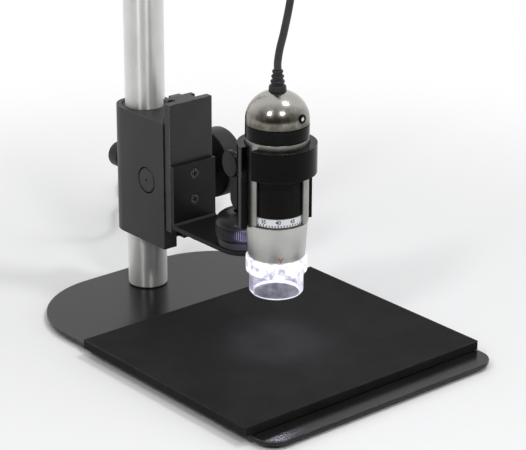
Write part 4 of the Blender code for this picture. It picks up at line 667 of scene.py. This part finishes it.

# Barrel
# A drawn aluminium tube with fine turned rings, toned a darker satin grey than the nose cone. A window cut
# in its front shows the focus dial and the scale.
barrel_outer = 0.0159
barrel_inner = 0.0147
barrel_low = 0.039
barrel_top = 0.0825
window_top = 0.07
window_turn = -114.5
window_half = 48.5
barrel_grey = finish(
    "barrel_darker_satin", 0.34, (0.0004, 0.00001), (0.01, (0.26, 0.26, 0.24), (0.32, 0.32, 0.3)), 0.95,
    stretch=(0.02, 0.02, 1), uneven=0.07)
fit_piece(bent_wall("barrel_tube", turn_steps([window_turn - 180, window_turn - window_half,
                                               window_turn + window_half, window_turn + 180], 2.5),
                    [barrel_low, window_top, barrel_top], barrel_inner, barrel_outer,
                    lambda turn, height: height > window_top or abs(turn - window_turn) > window_half, 0.0003),
          barrel_grey, "microscope", "satin_aluminium", "barrel")

# Focus dial
# A black moulded ring with crossed knurling, a small square stud for each crossing, which the finger turns
# through the barrel's window.
dial_inner = 0.0129
dial_outer = 0.0144
dial_valley = 0.01408
dial_low = 0.0439
dial_top = 0.071
dial_columns = 84
dial_rows = 24
dial_stud = ((0.0, 0), (0.22, 0), (0.4, 1), (0.82, 1))
dial_margin = 0.0004
dial_black = finish(
    "dial_plastic", 0.34, (0.0005, 0.00002), (0.005, (0.0025, 0.0025, 0.0028), (0.0045, 0.0045, 0.005)), gloss=0.16,
    uneven=0.05)
dial_turns = [2 * pi * (step + share) / dial_columns for step in range(dial_columns) for share, ridge in dial_stud]
dial_ridges = [ridge for step in range(dial_columns) for share, ridge in dial_stud]
row_pitch = (dial_top - dial_low - 2 * dial_margin) / dial_rows
dial_round = len(dial_turns)
dial_rings = [(dial_top, [dial_inner] * dial_round), (dial_top, [dial_valley] * dial_round)]
for row in range(dial_rows):
    for share, ridge in dial_stud:
        dial_rings.append((dial_top - dial_margin - row_pitch * (row + share),
                           [dial_outer if ridge and side else dial_valley for side in dial_ridges]))
dial_rings += [(dial_low, [dial_valley] * dial_round), (dial_low, [dial_inner] * dial_round)]
fit_piece(shaped_lathe("focus_dial_knurled", dial_rings, scope_place, dial_turns, 20),
          dial_black, "dial", "black_plastic", "focus_dial")

# Scale ring
# A white printed ring under the dial. It carries fine division marks along its lower edge and plain
# numbers over the longer marks.
scale_inner = 0.0129
scale_outer = 0.0144
scale_low = 0.0394
scale_top = 0.0436
print_radius = scale_outer + 0.00003
mark_low = scale_low + 0.0002
mark_half = 0.00028 / print_radius
long_mark = 0.0013
short_mark = 0.0009
number_low = scale_low + 0.0019
number_size = 0.0027
scale_white = finish(
    "scale_white", 0.35, (0.0008, 0.00001), (0.01, (0.84, 0.87, 0.9), (0.89, 0.92, 0.95)), uneven=0.05)
scale_ink = finish(
    "scale_print", 0.4, (0.0005, 0.00001), (0.002, (0.015, 0.015, 0.02), (0.03, 0.03, 0.035)), uneven=0.05)
fit_piece(turned_ring("scale_ring_white", scale_inner, scale_outer, scale_low, scale_top, 0.0001, scope_place),
          scale_white, "dial", "white_scale", "scale_ring")
mark_shape = bmesh.new()
for mark in range(60):
    turn = radians(mark * 6)
    mark_top = mark_low + (long_mark if mark % 5 == 0 else short_mark)
    sides = [turn - mark_half, turn + mark_half]
    mark_shape.faces.new(ring_of(mark_shape, print_radius, mark_low, sides)
                         + ring_of(mark_shape, print_radius, mark_top, sides[::-1]))
for mark in range(12):
    figure = bpy.data.curves.new("scale_number", 'FONT')
    figure.body = str(mark * 5)
    figure.size = number_size
    figure.align_x = 'CENTER'
    figure.offset = 0.00006
    drawn = show("scale_number", figure)
    flat = drawn.to_mesh()
    made = [ring_of(mark_shape, print_radius, number_low + point.co.y,
                    [radians(mark * 30) + point.co.x / print_radius])[0] for point in flat.vertices]
    for face in flat.polygons:
        mark_shape.faces.new([made[corner] for corner in face.vertices])
    drawn.to_mesh_clear()
    bpy.data.objects.remove(drawn)
fit_piece(set_up("scale_marks", mark_shape, scope_place), scale_ink, "dial", "black_plastic")

# Inside the barrel
# A black carrier holds the glass lens under a green camera board, and the board's underside carries the
# image sensor.
carrier_black = finish("carrier_black", 0.5, (0.0004, 0.00003), (0.004, (0.013, 0.013, 0.014), (0.02, 0.02, 0.021)))
board_green = finish("board_green", 0.4, (0.0006, 0.00002), (0.003, (0.015, 0.08, 0.035), (0.03, 0.13, 0.06)))
lens_glass = finish(
    "lens_glass", 0.04, (0.004, 0.000005),
    more={"Base Color": (0.9, 0.94, 1.0, 1), "Transmission Weight": 1.0, "IOR": 1.52})
clothe("lens_carrier", carrier_black, 0.0002)
clothe("lens", lens_glass)
clothe("camera_board", board_green)
clothe("image_chip", carrier_black)

# Nose cone
# Turned aluminium, satin anodised, tapering down from the barrel with a small red index mark near its
# lower edge.
cone_top = 0.0387
cone_low = 0.0201
cone_low_radius = 0.0144
cone_taper = 0.0013 / 0.0186
cone_shelf = 0.0376
cone_mouth = 0.0129
cone_top_radius = 0.0157
cone_lip = 0.0133
cone_shelf_radius = 0.0146
index_half = 1.0
index_proud = 0.00005
cone_satin = finish(
    "cone_satin", 0.33, (0.0004, 0.00001), (0.012, (0.49, 0.495, 0.47), (0.55, 0.555, 0.53)), 0.95,
    stretch=(0.02, 0.02, 1), uneven=0.07)
cone_profile = [(cone_mouth, cone_top), (cone_top_radius, cone_top), (cone_low_radius, cone_low),
                (cone_lip, cone_low), (cone_shelf_radius, cone_shelf), (cone_mouth, cone_shelf)]
cone = lathe("nose_cone_turned", rounded(cone_profile, 0.0003, closed=True), scope_place, facets=128, ring=True)
fit_piece(cone, cone_satin, "microscope", "satin_aluminium", "nose_cone")
index_red = finish("index_red", 0.4, (0.0005, 0.00001), (0.001, (0.48, 0.025, 0.02), (0.62, 0.04, 0.025)), uneven=0.05)
index_shape = bmesh.new()
for stroke_turn, stroke_top, stroke_low in ((-3.8, 0.0232, 0.0214), (3.8, 0.0232, 0.0214), (0, 0.0213, 0.0203)):
    corners = []
    for turn, height in ((stroke_turn - index_half, stroke_top), (stroke_turn + index_half, stroke_top),
                         (index_half, stroke_low), (-index_half, stroke_low)):
        radius = cone_low_radius + (height - cone_low) * cone_taper + index_proud
        corners += ring_of(index_shape, radius, height, [radians(window_turn + turn)])
    index_shape.faces.new(corners)
fit_piece(set_up("index_mark", index_shape, scope_place), index_red, "microscope", "silver_paint")

# Lamp board
# A ring-shaped board inside the cap's collar carries eight white lamps. Their light falls on the pad and
# a little of it, violet, on the lock ring.
lamp_board_inner = 0.006
lamp_board_outer = 0.013
lamp_board_low = 0.0241
lamp_board_top = 0.0253
lamp_reach = 0.0091
lamp_radius = 0.0016
lamp_height = 0.0016
fit_piece(turned_ring("lamp_board_ring", lamp_board_inner, lamp_board_outer, lamp_board_low, lamp_board_top, 0,
                      scope_place), board_green, "microscope", "circuit_board", "led_board")
lamp_light = finish(
    "lamp_light", 0.2, (0.001, 0.00001),
    more={"Base Color": (0.9, 0.9, 1.0, 1), "Emission Color": (0.84, 0.8, 1.0, 1), "Emission Strength": 2.0})
lamp_profile = rounded([(lamp_radius, 0), (lamp_radius, -0.001), (0.0011, -lamp_height), (0, -lamp_height)], 0.0004)
for count in range(8):
    turn = radians(22.5 + 45 * count)
    lamp_place = scope_place @ Matrix.Translation((lamp_reach * cos(turn), lamp_reach * sin(turn), lamp_board_low))
    lamp = lathe("lamp_%d" % (count + 1), lamp_profile, lamp_place, facets=24)
    fit_piece(lamp, lamp_light, "microscope", "clear_plastic")
for name, size, power, tint, place, aim in (
        ("lamp_pool", 0.016, 0.026, (0.86, 0.84, 1.0), (0, 0, 0.02), (0, 0, -1)),
        ("lamp_spill", 0.006, 0.0016, (0.62, 0.52, 1.0), (-0.011, 0.0142, 0.024), (0.1, 1.0, 0.05))):
    glow = show(name, bpy.data.lights.new(name, 'AREA'))
    glow.data.shape = 'DISK'
    glow.data.size = size
    glow.data.energy = power
    glow.data.color = tint
    glow.parent = cone
    glow.location = place
    glow.rotation_euler = Vector(aim).to_track_quat('-Z', 'Y').to_euler()

# Clear cap
# A clear moulded cap pushed on the nose. Its frosted collar has a painted glow, an emission standing in for
# the lamps' light behind it, and its lower wall has a fainter painted violet glow down to the rounded rim.
cap_bore = 0.0118
cap_top = 0.0238
cap_outer = 0.0138
cap_rim = 0.0012
rim_outer = 0.0128
rim_inner = 0.0116
cap_neck = 0.013
collar_radius = 0.0155
collar_top = 0.0198
collar_low = 0.012
# The clear plastic carries a faint painted glow as emission, violet and patchy.
clear_cap_painted_glow = finish(
    "clear_cap_painted_glow", 0.08, (0.002, 0.00004), (0.004, (0.024, 0.024, 0.038), (0.105, 0.103, 0.138)), stretch=(1, 1, 0.2),
    uneven=0.06, tinted="Emission Color",
    more={"Base Color": (0.96, 0.96, 0.99, 1), "Transmission Weight": 0.97, "IOR": 1.45, "Emission Strength": 1.0})
# The collar's painted glow: an emission in white and violet patches, no lamp of its own.
collar_painted_glow = finish(
    "frosted_collar_painted_glow", 0.35, (0.002, 0.00004), (0.003, (0.22, 0.2, 0.42), (0.97, 0.97, 1.0)), stretch=(1, 1, 0.2),
    uneven=0.06, tinted="Emission Color", spread=(0.33, 0.5),
    more={"Base Color": (0.6, 0.6, 0.66, 1), "Emission Strength": 0.78})
cap = lathe("cap_moulding", rounded([
    (cap_bore, cap_top), (cap_neck, cap_top), (cap_neck, collar_top), (collar_radius, collar_top),
    (collar_radius, collar_low), (cap_outer, collar_low), (cap_outer, cap_rim), (rim_outer, 0), (rim_inner, 0),
    (cap_bore, cap_rim)], 0.0005, closed=True), scope_place, facets=128, ring=True)
fit_piece(cap, clear_cap_painted_glow, "cap", "clear_plastic", "clear_cap")
cap.data.materials.append(collar_painted_glow)
# The collar's faces take the painted glow.
for face in cap.data.polygons:
    if face.center.z > collar_low - 0.0001 and face.center.xy.length > cap_neck + 0.0001:
        face.material_index = 1

# Black band
# A gloss black moulded ring between the barrel and the dome, a little proud of both, with the housing's
# fine seam across it.
gloss_black = finish(
    "gloss_black", 0.12, (0.004, 0.00001), (0.01, (0.003, 0.003, 0.003), (0.0055, 0.0055, 0.0055)), gloss=0.09,
    uneven=0.03)
band_bore = 0.01465
band_outer = 0.01605
band_low = 0.0828
band_top = 0.0898
fit_piece(turned_ring("black_band_ring", band_bore, band_outer, band_low, band_top, 0.0003, scope_place, facets=128),
          gloss_black, "microscope", "gloss_black", "barrel_band")

# Dome
# Spun metal with a smoky dark plating, polished to a soft mirror; a painted reflection darkens it towards its foot.
# The cable leaves through its top, and the touch button sits in its side over the seam.
dome_low = 0.0901
dome_high = 0.1058
dome_radius = 0.016
dome_wall = 0.0015
dome_straight = 0.1
dome_mouth = 0.0045
dome_reflection_low = 0.0895
dome_reflection_high = 0.1035
dome_cloud = 0.9


def dome_line(radius, low, high, mouth, steps):
    """The dome's outline from its mouth to its foot."""
    start = asin(mouth / radius)
    straight = dome_straight * (high - low)
    turns = [start + (radians(90) - start) * step / steps for step in range(steps + 1)]
    return [(radius * sin(turn), low + straight + (high - low - straight) * cos(turn) / cos(start))
            for turn in turns] + [(radius, low)]


dome_metal = finish("polished_dome", 0.19, (0.006, 0.00001), metallic=1.0, uneven=0.02)
tree = dome_metal.node_tree
dome_spot = node(tree, "TexCoord").outputs["Object"]
dome_height = node(tree, "SeparateXYZ", {"Vector": dome_spot}).outputs["Z"]
dome_smoke = node(tree, "TexNoise", {"Vector": dome_spot, "Scale": 190, "Detail": 3})
# Painted reflection: the colour darkens from the top down to the dome's foot, over the plating's random smoke.
dome_painted_reflection = node(tree, "MapRange", {"Value": dome_height, "From Min": dome_reflection_low, "From Max": dome_reflection_high})
dome_smoke_and_reflection = node(tree, "Math", {0: dome_smoke, 1: dome_cloud, 2: dome_painted_reflection}, operation='MULTIPLY_ADD')
dome_step = node(tree, "Math", {0: dome_smoke_and_reflection, 1: dome_cloud / 2}, operation='SUBTRACT')
join(tree, toned(tree, dome_step, ((0.12, (0.12, 0.11, 0.092)), (0.72, (0.42, 0.405, 0.37)))),
     tree.nodes["Principled BSDF"].inputs["Base Color"])
dome_outer = dome_line(dome_radius, dome_low, dome_high, dome_mouth, 32)
dome_inner = dome_line(dome_radius - dome_wall, dome_low, dome_high - dome_wall, dome_mouth, 16)
fit_piece(lathe("dome_spun", dome_outer + dome_inner[::-1], scope_place, facets=144, ring=True),
          dome_metal, "microscope", "polished_gunmetal", "dome_housing")

# Touch button and seam
# A pearl-like sensor spot in a black ring, set in the dome's side, and the fine dark seam under it where
# the housing's halves meet.
button_turn = -72.3
button_place = scope_place @ turned(button_turn, 'Z') @ Matrix.Translation((0, 0, 0.0946)) @ turned(90, 'Y')
button_face = 0.0163
button_bore = 0.0011
button_outer = 0.0024
button_back = 0.015
seam_half = 0.3
seam_low = 0.083
seam_top = 0.092
seam_step = 0.0013
seam_proud = 0.00003
fit_piece(lathe("touch_button_ring", rounded([
    (button_bore, button_face - 0.0004), (0.0012, button_face), (0.0021, button_face),
    (button_outer, button_face - 0.0003), (button_outer, button_back), (button_bore, button_back)], 0.0002,
    closed=True), button_place, facets=48, ring=True), gloss_black, "microscope", "black_plastic", "touch_button")
pearl = finish("pearl_spot", 0.25, (0.0005, 0.00001), (0.001, (0.78, 0.78, 0.8), (0.92, 0.92, 0.9)), uneven=0.05)
fit_piece(lathe("touch_button_spot", [
    (0, button_face - 0.0001), (0.0006, button_face - 0.00015), (0.001, button_face - 0.0003),
    (button_bore, button_face - 0.0006), (0, button_face - 0.0006)], button_place, facets=32),
          pearl, "microscope", "white_scale")
seam_shape = bmesh.new()
seam_turns = [radians(button_turn - seam_half), radians(button_turn + seam_half)]
seam_rows = []
for level in range(8):
    height = seam_low + seam_step * level
    radius = (band_outer if height < band_top else dome_radius) + seam_proud
    seam_rows.append(ring_of(seam_shape, radius, min(height, seam_top), seam_turns))
for below, above in zip(seam_rows, seam_rows[1:]):
    seam_shape.faces.new((*below, *above[::-1]))
fit_piece(set_up("housing_seam", seam_shape, scope_place), dial_black, "microscope", "black_plastic")

# Strain relief
# Moulded soft rubber with a collar and three round ribs, held in the dome's mouth by a flange on the
# inside.
relief_top = 0.1165
relief_flange = 0.006
relief_neck = 0.0042
flange_top = 0.1032
flange_low = 0.1018
relief_rubber = finish(
    "relief_rubber", 0.55, (0.0005, 0.00004), (0.003, (0.017, 0.017, 0.018), (0.025, 0.025, 0.026)), gloss=0.35)
relief_profile = [(0, relief_top)]
for rib_top, proud in ((relief_top, 0.0028), (0.114, 0.0032), (0.1114, 0.0036)):
    relief_profile += [(proud - 0.0003, rib_top), (proud, rib_top - 0.0006), (proud - 0.0002, rib_top - 0.0013),
                       (proud * 0.82, rib_top - 0.0015), (proud * 0.84, rib_top - 0.0025)]
relief_profile += [(0.0039, 0.1089), (0.0043, 0.1083), (0.0044, 0.1062), (relief_neck, 0.1057),
                   (relief_neck, flange_top), (relief_flange, flange_top), (relief_flange, flange_low),
                   (0, flange_low)]
relief = lathe("strain_relief_ribbed", rounded(relief_profile, 0.00015, steps=2), scope_place, facets=64)
fit_piece(relief, relief_rubber, "microscope", "black_rubber", "strain_relief")


# Cable
# A round black rubber lead, 3.8 mm thick. It rises from the strain relief, loops over behind the pole and
# comes down to the floor, where its spare length is wound.
def smooth_line(points, step):
    """A smooth curve through given points, read every step along its length."""
    places = [Vector(point) for point in points]
    places = [2 * places[0] - places[1]] + places + [2 * places[-1] - places[-2]]
    fine = []
    for start in range(1, len(places) - 2):
        before, here, after, beyond = places[start - 1:start + 3]
        for part in range(40):
            share = part / 40
            fine.append(0.5 * (2 * here + (after - before) * share
                               + (2 * before - 5 * here + 4 * after - beyond) * share ** 2
                               + (3 * here - before - 3 * after + beyond) * share ** 3))
    fine.append(places[-2])
    length = line_length(fine)
    count = max(2, round(length / step))
    read, run, wanted = [fine[0]], 0, length / count
    for a, b in zip(fine, fine[1:]):
        stretch = (b - a).length
        while run + stretch >= wanted and len(read) < count:
            read.append(a + (b - a) * ((wanted - run) / stretch))
            wanted += length / count
        run += stretch
    return read + [fine[-1]]


def line_length(line):
    """How long a line is, in metres."""
    return sum((b - a).length for a, b in zip(line, line[1:]))


def hose(name, line, facets=20):
    """A round tube of rubber along a line, closed at both ends."""
    shape = bmesh.new()
    rings = []
    side = None
    for place, point in enumerate(line):
        ahead = (line[min(place + 1, len(line) - 1)] - line[max(place - 1, 0)]).normalized()
        side = ahead.orthogonal() if side is None else side - ahead * side.dot(ahead)
        side.normalize()
        up = ahead.cross(side)
        rings.append([shape.verts.new(point + cable_radius * (side * cos(turn) + up * sin(turn)))
                      for turn in turns_of(facets)])
    skin(shape, rings)
    shape.faces.new(rings[0][::-1])
    shape.faces.new(rings[-1])
    made = set_up(name, shape, Matrix.Identity(4), 60)
    made.data.materials.append(cable_rubber)
    return made


cable_radius = 0.0019
cable_rubber = finish(
    "cable_rubber", 0.5, (0.0006, 0.00003), (0.01, (0.026, 0.026, 0.027), (0.036, 0.036, 0.037)), gloss=0.4,
    uneven=0.05)

# Coil
# The spare metre of cable, wound flat in four layers on the floor behind the pole and held by a band of
# black strap. Its end runs straight into the plug's grip.
coil_pitch = 0.0044
coil_inner = 0.0152
coil_layers = 4
coil_steps = 45
coil_turn_points = 24
coil_swing = 0.0008
coil_tail = 0.01
coil_middle = Vector((0.0861, 0.0909, 0))
plate_top = 0.0045
tie_thickness = 0.0006
tie_width = 0.004
grip_height = 0.0078
coil_base = cable_radius - plate_top + tie_thickness + seat_gap
coil_width = coil_pitch * coil_steps / coil_turn_points
coil_outer = coil_inner + coil_width
coil_points = []
for layer in range(coil_layers):
    inward = layer % 2 == 0
    height = coil_base + (coil_layers - 1 - layer) * coil_pitch
    for step in range(coil_steps + 1):
        share = step / coil_steps
        coil_points.append((coil_inner + coil_width * ((1 - share) if inward else share), height))
    if layer < coil_layers - 1:
        for step in range(1, coil_turn_points // 2):
            swing = coil_swing * sin(pi * step / (coil_turn_points // 2))
            drop = coil_pitch * (1 - cos(pi * step / (coil_turn_points // 2))) / 2
            coil_points.append((coil_inner - swing if inward else coil_outer + swing, height - drop))
sight = Vector((cos(radians(45)), sin(radians(45)), 0))
across = Vector((sight.y, -sight.x, 0))
coil_line = []
for count, (radius, height) in enumerate(coil_points):
    turn = pi - 2 * pi * count / coil_turn_points
    coil_line.append(coil_middle + across * (radius * cos(turn)) + sight * (radius * sin(turn))
                     + Vector((0, 0, height)))
coil_heading = (coil_line[1] - coil_line[0]).normalized()
tail_heading = (coil_line[-1] - coil_line[-2]).normalized()
straight_end = 2 * cable_radius
tail_turn = coil_line[-1] + tail_heading * straight_end
tail_level = tail_turn + tail_heading * coil_tail + Vector((0, 0, grip_height / 2 - plate_top - coil_base))
coil_line = ([coil_line[0] - coil_heading * straight_end] + coil_line
             + [tail_turn, tail_level, tail_level + tail_heading * straight_end])

# Free stretches
# The cable on its way from the strain relief to the coil. It is one length of rubber, parted here into stretches.
scope_top = scope_place.translation - stand_place.translation
relief_end = Vector((scope_top.x, scope_top.y, scope_top.z + relief_top + seat_gap))
coil_mouth = coil_line[0]
cable_route = [
    relief_end, relief_end + Vector((0, 0, 2 * cable_radius)),
    (-0.0031, -0.1143, 0.16), (-0.0013, -0.1154, 0.169), (0.003, -0.115, 0.185), (0.011, -0.108, 0.202),
    (0.022, -0.093, 0.216), (0.035, -0.069, 0.224), (0.046, -0.04, 0.224), (0.052, -0.011, 0.2125),
    (0.0485, 0.018, 0.188), (0.04, 0.036, 0.156), (0.0365, 0.043, 0.12), (0.0355, 0.048, 0.085),
    (0.037, 0.0545, 0.055), (0.041, 0.066, 0.033), (0.0478, 0.08, 0.019),
    coil_mouth - coil_heading * (seat_gap + 3 * straight_end), coil_mouth - coil_heading * (seat_gap + straight_end),
    coil_mouth - coil_heading * seat_gap]
to_room = stand_place.translation
cable_line = [point + to_room for point in smooth_line(cable_route, 0.0015)]
stretches = [("cable_at_microscope", 0.06, "microscope", "clip"),
             ("cable_over_clip", 0.105, "clip", "swivel_stem"),
             ("cable_rising", 0.17, "swivel_stem", "slide_and_arm"),
             ("cable_arch", 0.23, "slide_and_arm", "carriage"),
             ("cable_falling", 0.29, "carriage", "bushes"),
             ("cable_to_coil", 9.0, "bushes", "stand")]
start = 0
for name, reach, held_by, then_by in stretches:
    end = start
    while end < len(cable_line) - 1 and line_length(cable_line[:end + 1]) < reach:
        end += 1
    line = cable_line[start:end + 1]
    stretch = hose(name, line)
    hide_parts("cable")
    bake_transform(stretch)
    start = end
coil_path = [point + to_room for point in coil_line]
coil = hose("cable_coil_wound", coil_path, 16)
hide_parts("cable_coil")
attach(coil, "stand")

# Tie
# A band of black strap with a rough weave, wrapped once round the coil's far side and standing on the
# floor.
tie_low = coil_inner - cable_radius - coil_swing
tie_high = coil_outer + cable_radius + coil_swing
tie_top = coil_base + (coil_layers - 1) * coil_pitch + cable_radius + seat_gap
tie_bottom = -plate_top + tie_thickness
tie_bend = 0.0012
tie_place = stand_place @ Matrix.Translation(coil_middle) @ Matrix.Rotation(atan2(sight.y, sight.x), 4, 'Z')
tie_shape = bmesh.new()
tie_rings = []
for grow in (0, tie_thickness):
    corners = [(tie_low - grow, tie_bottom - grow), (tie_high + grow, tie_bottom - grow),
               (tie_high + grow, tie_top + grow), (tie_low - grow, tie_top + grow)]
    outline = rounded(corners, tie_bend + grow, closed=True)
    for side in (-tie_width / 2, tie_width / 2):
        tie_rings.append([tie_shape.verts.new((x, side, z)) for x, z in outline])
skin(tie_shape, [tie_rings[side] for side in (0, 1, 3, 2)], ring=True)
tie_strap = finish("tie_strap", 0.7, (0.0004, 0.00006), (0.001, (0.012, 0.012, 0.012), (0.03, 0.03, 0.03)))
tie = set_up("cable_tie_strap", tie_shape, tie_place)
fit_piece(tie, tie_strap, "stand", "black_rubber", "cable_tie")

# Plug
# A moulded rubber grip with a folded steel shell round the black contact tongue. It lies on the floor
# beside the coil.
plug_steel = finish(
    "plug_shell_steel", 0.28, (0.0004, 0.00001), (0.004, (0.56, 0.56, 0.57), (0.66, 0.66, 0.67)), 1.0,
    stretch=(1, 0.1, 1), uneven=0.07)
clothe("usb_plug_grip", cable_rubber, 0.0003)
clothe("usb_plug_shell", plug_steel)
clothe("usb_plug_tongue", carrier_black)
